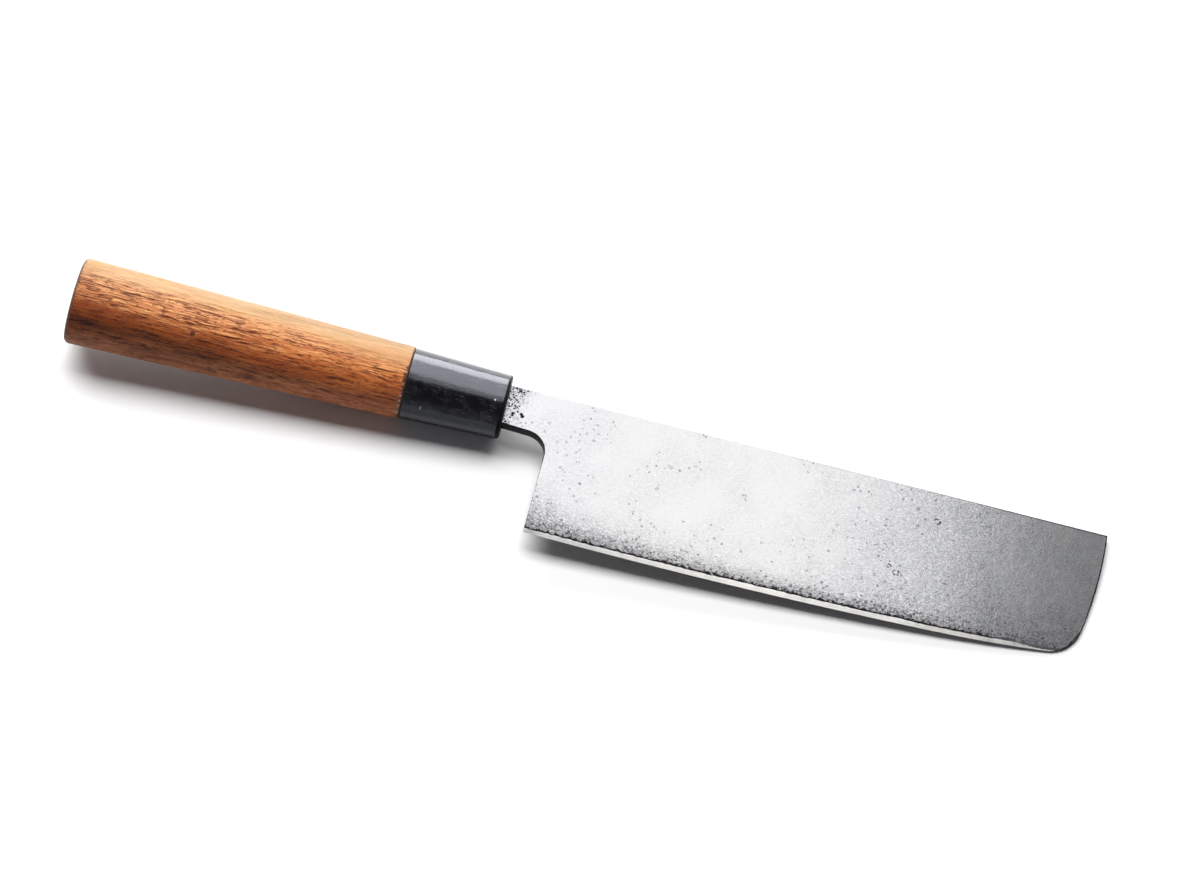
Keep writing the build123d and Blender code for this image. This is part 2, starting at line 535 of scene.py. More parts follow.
class Value:
    """What a node puts out. An operator adds a Math node to its tree, and its other side may be a number."""

    __add__ = operator("ADD")
    __sub__ = operator("SUBTRACT")
    __rsub__ = operator("SUBTRACT", turned=True)
    __mul__ = operator("MULTIPLY")
    __truediv__ = operator("DIVIDE")
    __rtruediv__ = operator("DIVIDE", turned=True)
    __abs__ = operator("ABSOLUTE")
    greater = operator("MAXIMUM")

    def __init__(self, tree: "Tree", socket: bpy.types.NodeSocket) -> None:
        """Args: tree, the one that the node is in; socket, the node's output."""
        self.tree = tree
        self.socket = socket

    def held(self) -> "Value":
        """The same, held between 0 and 1 by its own Math node."""
        self.socket.node.use_clamp = True
        return self

    def beside(self, name: str) -> "Value":
        """Another output of the same node."""
        return Value(self.tree, self.socket.node.outputs[name])

    def remap(self, low: float, high: float, to_low: float = 0.0, to_high: float = 1.0) -> "Value":
        """Eased from low..high to to_low..to_high, and held there."""
        inputs = {"Value": self, "From Min": low, "From Max": high, "To Min": to_low, "To Max": to_high}
        return self.tree.add("MapRange", inputs, interpolation_type="SMOOTHSTEP")


class Tree:
    """Adds shader nodes to one node tree and links them."""

    def __init__(self, tree: bpy.types.NodeTree, material: bpy.types.Material | None = None) -> None:
        """Args: tree, the node tree that is filled; material, the one that it belongs to."""
        self.tree = tree
        self.material = material

    @classmethod
    def of_material(cls, name: str) -> "Tree":
        """The tree of a new material."""
        material = bpy.data.materials.new(name)
        material.use_nodes = True
        return cls(material.node_tree, material)

    def feed(self, socket: bpy.types.NodeSocket, value: Fed) -> None:
        """Sets an input, or links it if the value is what another node puts out."""
        if isinstance(value, Value):
            self.tree.links.new(value.socket, socket)
        else:
            socket.default_value = value

    def shade(self, **inputs: Fed) -> bpy.types.Material:
        """Feeds the material's shader, an underscore in a keyword for a space, and gives the material."""
        for key, value in inputs.items():
            self.feed(self.tree.nodes["Principled BSDF"].inputs[key.replace("_", " ")], value)
        return self.material

    def add(self, kind: str, inputs: dict | None = None, output: int | str = 0, **settings: object) -> Value:
        """Adds a node.

        Args:
            kind: its type without the prefix ShaderNode.
            inputs: what it is fed, by name or number.
            output: name or number of the output that is wanted.
            settings: its properties.

        Returns:
            That output.
        """
        node = self.tree.nodes.new(f"ShaderNode{kind}")
        for key, value in settings.items():
            setattr(node, key, value)
        for key, value in (inputs or {}).items():
            self.feed(node.inputs[key], value)
        return Value(self, node.outputs[output])

    def math(self, operation: str, a: Number, b: Number = 0.0) -> Value:
        """A Math node's result."""
        return self.add("Math", {0: a, 1: b}, operation=operation)

    def mix(self, factor: Number, a: Fed, b: Fed, **settings: str) -> Value:
        """Colour between a and b."""
        return self.add("Mix", {0: factor, 6: a, 7: b}, 2, data_type="RGBA", **settings)

    def multiply(self, factor: Number, a: Fed, b: Fed) -> Value:
        """Colour a, multiplied by b as far as the factor says."""
        return self.mix(factor, a, b, blend_type="MULTIPLY")

    def between(self, factor: Number, a: Number, b: Number) -> Value:
        """Number between a and b."""
        return self.add("Mix", {0: factor, 2: a, 3: b}, data_type="FLOAT")

    def vector(self, operation: str, a: Fed, b: Fed, second: int | str = 1) -> Value:
        """A Vector Math node's vector; second is the input that takes b."""
        return self.add("VectorMath", {0: a, second: b}, operation=operation)

    def scaled(self, vector: Value, factor: Number) -> Value:
        """A vector times a number."""
        return self.vector("SCALE", vector, factor, "Scale")

    def distance(self, a: Fed, b: Fed) -> Value:
        """Distance between two points."""
        return self.add("VectorMath", {0: a, 1: b}, "Value", operation="DISTANCE")

    def spot(self, vector: Value, place: tuple, size: tuple) -> Value:
        """Distance from a place in the knife's frame, in half axes of an oval of the given size."""
        away = self.vector("DIVIDE", self.vector("SUBTRACT", vector, place), size)
        return self.add("VectorMath", {0: away}, "Value", operation="LENGTH")

    def triple(self, x: Number, y: Number = 0.0, z: Number = 0.0) -> Value:
        """The vector (x, y, z)."""
        return self.add("CombineXYZ", {0: x, 1: y, 2: z})

    def grey(self, tone: Number) -> Value:
        """The grey of that tone."""
        return self.add("CombineColor", {0: tone, 1: tone, 2: tone})

    def parts(self, whole: Value, kind: str = "XYZ") -> tuple:
        """The three parts of a vector, or of a colour if kind is Color."""
        node = self.add(f"Separate{kind}", {0: whole}).socket.node
        return tuple(Value(self, socket) for socket in node.outputs)

    def stretch(
        self, vector: Value, scale: tuple, shift: tuple = ORIGIN, turn: tuple = ORIGIN, kind: str = "POINT"
    ) -> Value:
        """The vector scaled, turned and moved, or the reverse if kind is TEXTURE."""
        inputs = {"Vector": vector, "Location": shift, "Rotation": turn, "Scale": scale}
        return self.add("Mapping", inputs, vector_type=kind)

    def noise(
        self, vector: Value, scale: Number, detail: float = 2.0, roughness: float = 0.5, output: str = "Fac"
    ) -> Value:
        """Smooth noise from 0 to 1, with about scale features to a unit; output Color gives three of them."""
        inputs = {"Vector": vector, "Scale": scale, "Detail": detail, "Roughness": roughness}
        return self.add("TexNoise", inputs, output)

    def drawn(
        self, vector: Value, scale: tuple, shift: tuple = ORIGIN, detail: float = 2.0, roughness: float = 0.5
    ) -> Value:
        """Noise drawn out along the axes: scale gives its features to a unit on each."""
        return self.noise(self.stretch(vector, scale, shift), 1.0, detail, roughness)

    def ramp(self, factor: Value, stops: tuple) -> Value:
        """Colour of a ramp, whose stops are (place, colour)."""
        colour = self.add("ValToRGB", {0: factor})
        elements = colour.socket.node.color_ramp.elements
        while len(elements) < len(stops):
            elements.new(0.5)
        for element, (place, stop) in zip(elements, stops):
            element.position = place
            element.color = (*stop, 1)
        return colour

    def stored(self, name: str) -> Value:
        """A number that the mesh keeps at its points."""
        return self.add("Attribute", output="Fac", attribute_name=name)

    def bump(self, height: Value, depth: float) -> Value:
        """Normal of a relief whose height of 1 is depth millimetres."""
        return self.add("Bump", {"Height": height, "Distance": depth * MM, "Strength": 1.0})

    def group(self, name: str, vector: Value, **inputs: Number) -> dict[str, Value]:
        """Places a shared group on the vector, an underscore for a space, and gives its outputs by name."""
        fed = {"Vector": vector, **{key.replace("_", " "): value for key, value in inputs.items()}}
        node = self.add("Group", fed, node_tree=bpy.data.node_groups[name]).socket.node
        return {socket.name: Value(self, socket) for socket in node.outputs}


# Shared effects: each takes its group's tree and inputs in order, and gives the outputs by name

Outputs: TypeAlias = dict[str, Value]


def pits(t: Tree, vector: Value, cell: Value, share: Value, radius: Value, softness: Value) -> Outputs:
    """Uneven pits: one to a random cell where its lot is under Share, with a soft wall and a dark rim."""
    scale = 1.0 / cell
    uneven = t.noise(vector, scale, 1.0, output="Color")
    pushed = t.scaled(t.vector("SUBTRACT", uneven, (0.5, 0.5, 0.5)), cell * 0.8)
    cells = t.add("TexVoronoi", {"Vector": t.vector("ADD", vector, pushed), "Scale": scale}, "Color")
    lot, uneven_size, _ = t.parts(cells, "Color")
    chosen = t.math("LESS_THAN", lot, share)
    depth = radius * uneven_size.remap(0, 1, 0.45, 1.25) - cells.beside("Distance")
    ring = (1.0 - abs(depth) / softness).held()
    return {"Mask": (depth / softness).held() * chosen, "Rim": ring * chosen}


def scratches(t: Tree, vector: Value, length: Value, width: Value, share: Value) -> Outputs:
    """Fine scratches along x: noise drawn out Length to Width, kept only where it crosses its middle."""
    across = 1.0 / width
    drawn = t.vector("MULTIPLY", vector, t.triple(1.0 / length, across, across))
    off = abs(t.noise(drawn, 1.0, 1.0) - 0.5)
    line = (1.0 - off / (share * 0.2)).held()
    return {"Mask": line * t.noise(vector, 0.35, 1.0).remap(0.5, 0.62)}


def grain(
    t: Tree, vector: Value, tilt: Value, waviness: Value, strand_length: Value, line_share: Value
) -> Outputs:
    """Wood along x: growth layers across y and z, wavy strands, dark lines between them, and their relief.

    Layer is the depth through the wood in millimetres, bent by Waviness, for a colour ramp. Fibre, Strands
    and Pores run from 0 to 1, and Relief is for a Bump node. The lines lie where two sizes of drawn-out noise
    are at their highest, and Line Share says how much of it they take.
    """
    x, y, z = t.parts(vector)
    slow = t.drawn(vector, (0.022, 0.11, 0.11)) - 0.5
    quick = t.drawn(vector, (0.16, 0.7, 0.7), (3, 7, 1)) - 0.5
    layer = y * 0.889 + z * 0.457 + x * tilt + (slow * 6.0 + quick * 2.2) * waviness
    waver = t.noise(t.stretch(vector, (0.06, 0.28, 0.28)), 1.0, 3.0, output="Color")
    drift = t.scaled(t.vector("MULTIPLY", waver, (0.0, 1.9, 1.9)), waviness)
    flow = t.vector("ADD", vector, drift)
    strands = t.noise(t.vector("MULTIPLY", flow, t.triple(1.0 / strand_length, 1.9, 1.9)), 1.0, 2.0, 0.55)
    fine = t.drawn(flow, (0.5, 2.8, 2.8), (5, 1, 9), 2.0, 0.6)
    fibre = t.drawn(flow, (0.07, 1.7, 1.7), (1, 6, 2), 2.0, 0.65)
    edge = 0.63 - line_share * 0.15
    long_lines, short_lines = (((noise - edge) * 20.0).held() for noise in (strands, fine))
    pores = long_lines.greater(short_lines * 0.8)
    relief = (fibre + strands) * 0.4 - pores
    return {"Layer": layer, "Fibre": fibre, "Strands": strands, "Pores": pores, "Relief": relief}


def edge_wear_and_shade(t: Tree, vector: Value, distance: Value, width: Value, patch: Value) -> Outputs:
    """Rubbed edges and painted shade at a rim: 1 there and 0 beyond Width from it, broken up by noise of the
    size Patch.
    """
    patchy = t.noise(vector, 1.0 / patch, 3.0).remap(0.3, 0.7, 0.2, 1.3)
    return {"Mask": (1.0 - distance / (width * patchy)).held()}


def speckle(t: Tree, vector: Value, size: Value, contrast: Value) -> Outputs:
    """Grainy specks of the size Size, from 0 to 1, over slow patches ten times as large."""
    scale = 1.0 / size
    fine = t.noise(vector, scale, 2.5, 0.7)
    return {"Value": ((fine - 0.5) / contrast + 0.5).held(), "Patches": t.noise(vector, scale * 0.1)}


SHARED_EFFECTS = {
    pits: {"Cell": 1.0, "Share": 0.5, "Radius": 0.3, "Softness": 0.1},
    scratches: {"Length": 20.0, "Width": 0.3, "Share": 0.1},
    grain: {"Tilt": 0.04, "Waviness": 1.0, "Strand Length": 8.0, "Line Share": 0.4},
    edge_wear_and_shade: {"Distance": 0.0, "Width": 0.5, "Patch": 1.0},
    speckle: {"Size": 0.4, "Contrast": 0.15},
}


def make_group(effect: Callable[..., Outputs], defaults: dict[str, float]) -> bpy.types.NodeTree:
    """Makes the shader node group of an effect, under the effect's own name.

    Args:
        effect: adds the nodes.
        defaults: value of each number that goes in after the vector.

    Returns:
        The group.
    """
    group = bpy.data.node_groups.new(effect.__name__, "ShaderNodeTree")
    group.interface.new_socket(name="Vector", in_out="INPUT", socket_type="NodeSocketVector")
    for name, default in defaults.items():
        socket = group.interface.new_socket(name=name, in_out="INPUT", socket_type="NodeSocketFloat")
        socket.default_value = default
    tree = Tree(group)
    start = group.nodes.new("NodeGroupInput")
    made = effect(tree, *(Value(tree, socket) for socket in start.outputs[: len(defaults) + 1]))
    for name in made:
        group.interface.new_socket(name=name, in_out="OUTPUT", socket_type="NodeSocketFloat")
    end = group.nodes.new("NodeGroupOutput")
    for name, value in made.items():
        tree.feed(end.inputs[name], value)
    return group


# Finishes


class Bench:
    """What every finish needs: the shared effects, and the pose for the knife's own coordinates."""

    def __init__(self, pose: RestPose) -> None:
        """Args: pose, of the knife."""
        self.pose = pose
        for effect, defaults in SHARED_EFFECTS.items():
            make_group(effect, defaults)

    def start(self, name: str) -> tuple[Tree, Value]:
        """Starts a material.

        Args:
            name: its name.

        Returns:
            The material's Tree, and the knife's own coordinates in millimetres.
        """
        tree = Tree.of_material(name)
        shift, turn = tuple(self.pose.shift * MM), tuple(self.pose.matrix().to_euler())
        return tree, tree.stretch(tree.add("TexCoord", output="Object"), (MM, MM, MM), shift, turn, "TEXTURE")


@dataclass(frozen=True)
class PearSkinSteel:
    """Cladding: grey steel with a fine pear-skin grain, darker and pitted by the ferrule and on the grind."""

    steel: tuple = (0.375, 0.375, 0.378, 1)
    shade: tuple = (0.15, 0.148, 0.155, 1)
    scale_black: tuple = (0.008, 0.008, 0.009, 1)
    warm: tuple = (1.0, 0.985, 0.995, 1)
    cool: tuple = (0.965, 0.98, 1.01, 1)
    heel_place: tuple = (14.0, -33.0, 1.5)
    heel_size: tuple = (13.0, 17.0, 9.0)
    pits: tuple = (
        ((2.4, -2.3, 2.1), (0.55, 0.5, 3.0)),
        ((4.9, -2.0, 2.1), (0.55, 0.5, 3.0)),
        ((5.3, -2.6, 2.1), (0.6, 0.6, 3.0)),
    )
    rings: tuple = (((130.2, -2.7, 1.3), 0.85), ((121.6, -22.0, 1.3), 0.8), ((119.2, -20.4, 1.3), 0.6))
    roughness: float = 0.13
    relief: float = 0.014

    def build(self, bench: Bench) -> bpy.types.Material:
        """Returns: the material."""
        t, own = bench.start("pear_skin_steel")
        x, y, _ = t.parts(own)
        step, rim = t.stored("step_mm"), t.stored("rim_mm")
        swirled = t.vector("ADD", own, t.scaled(t.noise(own, 0.28, 1.0, output="Color"), 3.0))
        skin = t.group("speckle", t.stretch(swirled, (0.65, 1.15, 1.0)), Size=0.52, Contrast=0.2)["Value"]
        broad = t.group("speckle", own, Size=1.7, Contrast=0.30)
        patches = broad["Patches"]
        tip = x.remap(85.0, 135.0)
        corner = t.spot(own, self.heel_place, self.heel_size).remap(0.15, 1.0, 1.0, 0.0)
        heel = (x.remap(13.0, 60.0, 1.0, 0.35) * step.remap(1.0, 15.0, 1.0, 0.0) + corner * 0.6).held()
        grind = step.remap(0.2, 6.5, 1.0, 0.0)
        band = step.remap(0.0, 2.2, 1.0, 0.0)
        neck_x = x - y * 0.3
        neck = neck_x.remap(2.2, 7.5, 1.0, 0.0)
        amount = patches.remap(0.38, 0.62) * 0.13 + 0.07 + tip * 0.5 + (heel * 0.55 + grind * 0.45)
        amount = (amount + (band * 0.55 + neck * 0.35)).held()
        amount = amount + step.remap(22.0, 4.0) * x.remap(130.0, 160.0) * 0.14
        even = t.between((grind * 0.35).greater(tip * 0.6), skin, 0.5)
        dark = (t.between(0.5, even, skin) * amount + broad["Value"] * amount * 0.22).held()
        colour = t.mix(dark, self.steel, self.shade)
        tint = tip * t.noise(own, 0.13).remap(0.4, 0.6)
        colour = t.multiply(tip, colour, t.mix(tint, self.warm, self.cool))

        share = patches.remap(0.50, 0.70) * 0.16 + grind * grind * 0.62 + (heel * 0.12 + tip * 0.04)
        small = t.group("pits", own, Cell=0.85, Share=share, Radius=0.34, Softness=0.20)["Rim"]
        large = t.group("pits", own, Cell=3.2, Share=0.20, Radius=0.13, Softness=0.06)["Mask"]
        pit = small.greater(large) * t.between(grind * grind, 0.55, 1.0)
        share = 1.0 - neck_x.remap(1.2, 5.0)
        dense = t.group("pits", own, Cell=0.60, Share=share, Radius=0.45, Softness=0.14)
        pit = pit.greater(dense["Mask"].greater(dense["Rim"]))
        net = t.group("pits", own, Cell=0.8, Share=neck * 0.8, Radius=0.42, Softness=0.16)["Rim"]
        pit = pit.greater(net * 0.4)
        for place, size in self.pits:
            pit = pit.greater((t.spot(own, place, size) + skin * 0.35).remap(0.85, 1.25, 1.0, 0.0))
        for place, radius in self.rings:
            off = abs(t.spot(own, place, (radius, radius, 9.0)) + patches * 0.8 - 1.35)
            broken = t.noise(own, 0.9, 1.0).remap(0.42, 0.54)
            pit = pit.greater(off.remap(0.12, 0.45, 0.95, 0.0) * skin.remap(0.1, 0.45) * broken)
        # Painted shade: a near-black line along the step where the cladding ends over the bright strip,
        # weaker towards the tip.
        line = t.group("edge_wear_and_shade", own, Distance=step, Width=1.1, Patch=0.8)["Mask"]
        pit = pit.greater(line.remap(0.08, 0.45, 0.0, 0.95) * x.remap(148.0, 164.0, 1.0, 0.4))
        colour = t.mix(pit, colour, self.scale_black)
        # Partly forge scale, partly painted shade: the rims, cutting edge left out, go near black over a
        # width that grows towards the front and shrinks at the lower corner, so their rounding shows as a
        # dark outline.
        reach = x.remap(110.0, 172.0, 0.16, 0.55) * y.remap(-34.0, -14.0, 0.3, 1.0)
        arris = (1.0 - rim / reach).held()
        colour = t.mix(arris.remap(0.0, 0.5, 0.0, 0.97), colour, self.scale_black)
        rough = skin * 0.06 + self.roughness + pit * 0.35
        normal = t.bump(skin * 0.3 - pit, self.relief)
        return t.shade(Base_Color=colour, Metallic=1.0, Roughness=rough, Normal=normal)


@dataclass(frozen=True)
class BrightSteel:
    """Core: harder steel, ground bright along the edge with scratches across it, and black with scale above.

    Towards the tip the bright part narrows to a hairline, and grey steel lies over it.
    """

    steel: tuple = (0.84, 0.82, 0.79, 1)
    grey: tuple = (0.21, 0.205, 0.21, 1)
    speck: tuple = (0.05, 0.05, 0.052, 1)
    dull: tuple = (0.42, 0.41, 0.40, 1)
    scale_black: tuple = (0.02, 0.02, 0.02, 1)
    roughness: float = 0.32
    scratched: float = 0.45

    def build(self, bench: Bench) -> bpy.types.Material:
        """Returns: the material."""
        t, own = bench.start("bright_core_steel")
        x, _, _ = t.parts(own)
        edge = t.stored("edge_mm")
        turned = t.stretch(own, (1, 1, 1), turn=(0, 0, math.radians(78)))
        lines = t.group("scratches", turned, Length=3.0, Width=0.12, Share=0.5)["Mask"]
        specks = t.group("speckle", own, Size=0.3, Contrast=0.3)["Value"]
        nick = t.group("pits", own, Cell=1.3, Share=0.1, Radius=0.2, Softness=0.1)["Mask"]
        colour = t.mix((specks * 0.2).greater(nick * 0.7), self.steel, self.dull)
        ragged = (t.noise(own, 1.6) - 0.5) * 0.7
        above = edge + ragged - x.remap(152.0, 168.0, 1.9, 0.3)
        colour = t.mix(above.remap(-0.04, 0.10), colour, t.mix(specks, self.grey, self.speck))
        colour = t.mix(edge.remap(1.75, 2.3), colour, self.scale_black)
        rough = t.between(lines, self.roughness, self.scratched)
        return t.shade(Base_Color=colour, Metallic=1.0, Roughness=rough, Normal=t.bump(lines, 0.003))


@dataclass(frozen=True)
class BlackHorn:
    """Ferrule: glossy black, with handling scratches, dust specks and one small chip near the blade, its
    glint painted white.
    """

    black: tuple = (0.004, 0.004, 0.005, 1)
    dust: tuple = (0.20, 0.20, 0.22, 1)
    chip_and_glint: tuple = (0.85, 0.85, 0.88, 1)
    sheen: tuple = (0.84, 0.875, 0.97, 1)
    chip_place: tuple = (-3.4, -2.8, 8.63)
    chip_radius: float = 0.19
    nick_place: tuple = (-24.0, -9.3, 4.6)
    nick_size: tuple = (0.22, 0.9, 0.9)
    roughness: float = 0.09

    def build(self, bench: Bench) -> bpy.types.Material:
        """Returns: the material."""
        t, own = bench.start("black_horn")
        x, y, _ = t.parts(own)
        turned = t.stretch(own, (1, 1, 1), turn=(0.5, 0.2, 0.6))
        scratch = t.group("scratches", own, Length=9.0, Width=0.35, Share=0.1)["Mask"]
        scratch = scratch.greater(t.group("scratches", turned, Length=6.0, Width=0.3, Share=0.08)["Mask"])
        patches = t.group("speckle", own, Size=0.5, Contrast=0.2)["Patches"]
        specks = t.group("pits", own, Cell=0.9, Share=0.12, Radius=0.16, Softness=0.08)["Mask"]
        front = x.remap(-12.0, -2.0, 0.15, 1.0)
        # The chip near the blade is a small dent whose glint is painted white; the nick further back is
        # painted in the same white.
        ragged = t.distance(own, self.chip_place) + t.noise(own, 4.0) * 0.8
        chip_and_glint = ragged.remap(self.chip_radius + 0.36, self.chip_radius + 0.56, 1.0, 0.0)
        nick = t.spot(own, self.nick_place, self.nick_size).remap(0.4, 1.0, 0.35, 0.0)
        scuff = t.drawn(own, (0.7, 3.0, 3.0), (2, 5, 3), 3.0, 0.7)
        scuff = scuff.remap(0.56, 0.66) * patches.remap(0.42, 0.58) * 0.16
        colour = t.mix((scratch * 0.35).greater(scuff), self.black, self.dust)
        colour = t.mix(specks * front * 0.8, colour, self.dust)
        colour = t.mix(chip_and_glint.greater(nick), colour, self.chip_and_glint)
        wear = t.group("edge_wear_and_shade", own, Distance=abs(x + 0.35), Width=0.5, Patch=1.6)["Mask"]
        colour = t.mix(wear * 0.05, colour, self.dust)
        rough = patches * 0.10 + self.roughness + (scratch * 0.25 + x.remap(-1.1, -0.5, 0.0, 0.25))
        height = t.drawn(own, (0.25, 0.9, 0.9)) * 0.9 + t.drawn(own, (0.8, 2.2, 2.2), detail=3.0) * 0.35
        normal = t.bump(height - (scratch * 0.12 + chip_and_glint * 3.0), 0.03)
        # Painted shade: the gloss falls nearly to nothing on the front rim, over a width that grows towards
        # its lower side, so the rim shows as a dark band.
        gloss_with_rim_shade = (x - y * 0.035).remap(-1.15, -0.70, 0.5, 0.02)
        t.shade(Base_Color=colour, Roughness=rough, Normal=normal, IOR=1.9, Specular_Tint=self.sheen)
        return t.shade(Specular_IOR_Level=gloss_with_rim_shade)


@dataclass(frozen=True)
class GripWood:
    """Grip: reddish brown heartwood, paler towards the ferrule, with a sapwood side, open grain and a knot.

    The two ramps give the colour through the layers at the butt and at the seam.
    """

    butt_layers: tuple = (
        # The lowest stop is paler: partly a pale strip of the wood, partly painted light from the table
        # below.
        (0.00, (0.390, 0.145, 0.056)),
        (0.11, (0.225, 0.072, 0.021)),
        (0.21, (0.142, 0.037, 0.009)),
        (0.33, (0.220, 0.050, 0.010)),
        (0.45, (0.340, 0.093, 0.022)),
        (0.58, (0.500, 0.192, 0.060)),
        (0.71, (0.545, 0.260, 0.099)),
        (0.82, (0.455, 0.268, 0.123)),
        (1.00, (0.400, 0.226, 0.112)),
    )
    seam_layers: tuple = (
        # The lowest stop is paler: partly a pale strip of the wood, partly painted light from the table
        # below.
        (0.10, (0.600, 0.215, 0.080)),
        (0.23, (0.420, 0.135, 0.040)),
        (0.38, (0.430, 0.122, 0.030)),
        (0.50, (0.530, 0.158, 0.038)),
        (0.60, (0.640, 0.212, 0.056)),
        (0.70, (0.570, 0.208, 0.062)),
        (0.80, (0.490, 0.236, 0.090)),
        (0.90, (0.405, 0.252, 0.118)),
        (1.00, (0.335, 0.200, 0.104)),
    )
    depth: tuple = (-15.0, 9.0)
    pore: tuple = (0.060, 0.018, 0.008, 1)
    line_shade: tuple = (0.19, 0.11, 0.08, 1)
    flame_shade: tuple = (0.66, 0.46, 0.36, 1)
    sap_shade: tuple = (0.88, 0.85, 0.74, 1)
    fleck_highlight: tuple = (0.92, 0.52, 0.23, 1)
    honey: tuple = (1.08, 1.02, 0.80, 1)
    end_grain_and_rim_shade: tuple = (0.07, 0.035, 0.02, 1)
    dust: tuple = (0.80, 0.66, 0.56, 1)
    knot_place: tuple = (-93.2, -6.2, 9.1)
    seam_x: float = -29.6
    butt_x: float = -130.0
    relief: float = 0.10

    def build(self, bench: Bench) -> bpy.types.Material:
        """Returns: the material."""
        t, own = bench.start("grip_wood")
        x, _, _ = t.parts(own)
        away = t.distance(own, self.knot_place)
        wood = t.group("grain", own, Tilt=0.033, Waviness=1.0, Strand_Length=8.0, Line_Share=0.4)
        fibre, strands, pores = wood["Fibre"], wood["Strands"], wood["Pores"]
        layer = wood["Layer"] + away.remap(0.0, 3.5, 1.2, 0.0)
        low, high = self.depth
        place = t.add("MapRange", {"Value": layer, "From Min": low, "From Max": high})
        place = place - x.remap(-55.0, -122.0) * place.remap(0.48, 0.72) * 0.065
        at_butt, at_seam = t.ramp(place, self.butt_layers), t.ramp(place, self.seam_layers)
        colour = t.mix(x.remap(-128.0, -32.0), at_butt, at_seam)
        heart = place.remap(0.68, 0.86, 1.0, 0.08)

        rings = t.noise(t.triple(layer), 1.1, 3.0, 0.7)
        figure = t.drawn(own, (0.07, 0.42, 0.42), (2, 4, 6), 3.0, 0.6)
        for flame in (rings.remap(0.45, 0.62) * heart * 0.45, figure.remap(0.48, 0.62) * heart * 0.6):
            colour = t.multiply(flame, colour, self.flame_shade)
        open_zone = place.remap(0.30, 0.55, 0.6, 1.0) * heart
        # Painted highlights: pale flecks between the dark grain lines, where a relief would catch light, in
        # the upper heartwood and more towards the butt.
        fleck_highlight = strands.remap(0.47, 0.40) * fibre.remap(0.40, 0.56, 0.3, 1.0) * heart
        fleck_highlight = fleck_highlight * place.remap(0.42, 0.62) * x.remap(-60.0, -105.0, 0.36, 0.52)
        colour = t.mix(fleck_highlight, colour, self.fleck_highlight)
        sooty = t.drawn(own, (0.05, 1.3, 1.3), (4, 2, 8), 2.0, 0.6).remap(0.50, 0.58)
        lower = place.remap(0.12, 0.22) * place.remap(0.44, 0.30) * x.remap(-45.0, -100.0)
        sap = t.drawn(own, (0.035, 0.55, 0.55), (6, 3, 1), 3.0, 0.65).remap(0.44, 0.60, 0.1, 0.9)
        reach = open_zone * x.remap(-60.0, -105.0, 0.88, 0.95)
        for mask, shade in (
            (sooty * lower * 0.6, self.line_shade),
            (x.remap(-106.0, -126.0) * heart * 0.25, self.flame_shade),
            (place.remap(0.58, 0.70) * heart * x.remap(-76.0, -104.0) * 0.2, self.line_shade),
            (sap * place.remap(0.66, 0.80), self.sap_shade),
            (fibre.remap(0.50, 0.38) * (heart * 0.58 + 0.17), self.flame_shade),
            (fibre.remap(0.52, 0.64) * 0.5, self.honey),
            (pores * (reach + place.remap(0.44, 0.30, 0.07, 0.30)), self.line_shade),
        ):
            colour = t.multiply(mask, colour, shade)

        knot = away.remap(0.45, 1.05, 1.0, 0.0) * away.remap(0.0, 0.35, 0.55, 1.0)
        from_seam, from_butt = self.seam_x - x, x - self.butt_x
        comb = t.drawn(own, (0.35, 2.7, 2.7), roughness=0.7).remap(0.44, 0.56)
        pale = comb.remap(0.6, 0.1) * from_seam.remap(0.7, 1.7, 1.0, 0.0) * place.remap(0.85, 0.65)
        rim = (from_seam - comb * heart * 0.9).remap(0.25, 0.6, 1.0, 0.0)
        end_pores = t.drawn(own, (0.1, 2.4, 2.4), (3, 1, 7), 3.0, 0.6).remap(0.38, 0.62, 0.78, 1.0)
        # The butt's end face is dark end grain; the dark reaches about a millimetre onto the rounded rim as
        # painted shade of its outline.
        end = from_butt.remap(1.15, 0.5) * end_pores * rings.remap(0.38, 0.62, 0.84, 0.97)
        wear = t.group("edge_wear_and_shade", own, Distance=from_butt, Width=2.2, Patch=2.0)["Mask"]
        for mask, paint in (
            (knot * 0.95, self.pore),
            (pale * 0.3, self.dust),
            (rim * 0.9, self.pore),
            (end, self.end_grain_and_rim_shade),
            (wear * 0.35, self.pore),
        ):
            colour = t.mix(mask, colour, paint)
        normal = t.bump(wood["Relief"] * (open_zone * 0.8 + 0.2), self.relief)
        return t.shade(Base_Color=colour, Roughness=pores * 0.2 + 0.46, Normal=normal, IOR=1.38)


@dataclass(frozen=True)
class DowelWood:
    """Dowel: plain straight-grained pale hardwood, with glue soaked into it in places."""

    pale: tuple = (0.62, 0.45, 0.26, 1)
    dark: tuple = (0.42, 0.27, 0.14, 1)
    glue: tuple = (0.34, 0.24, 0.12, 1)

    def build(self, bench: Bench) -> bpy.types.Material:
        """Returns: the material."""
        t, own = bench.start("dowel_wood")
        wood = t.group("grain", own, Tilt=0.01, Waviness=0.4, Strand_Length=12.0)
        rings = t.noise(t.triple(wood["Layer"]), 0.8)
        colour = t.mix(rings.remap(0.4, 0.6), self.pale, self.dark)
        colour = t.mix(wood["Pores"] * 0.5, colour, self.dark)
        specks = t.group("speckle", own, Size=0.6, Contrast=0.25)
        colour = t.mix(specks["Patches"].remap(0.5, 0.65, 0.0, 0.7), colour, self.glue)
        rough = specks["Value"] * 0.2 + 0.6
        return t.shade(Base_Color=colour, Roughness=rough, Normal=t.bump(wood["Relief"], 0.05))


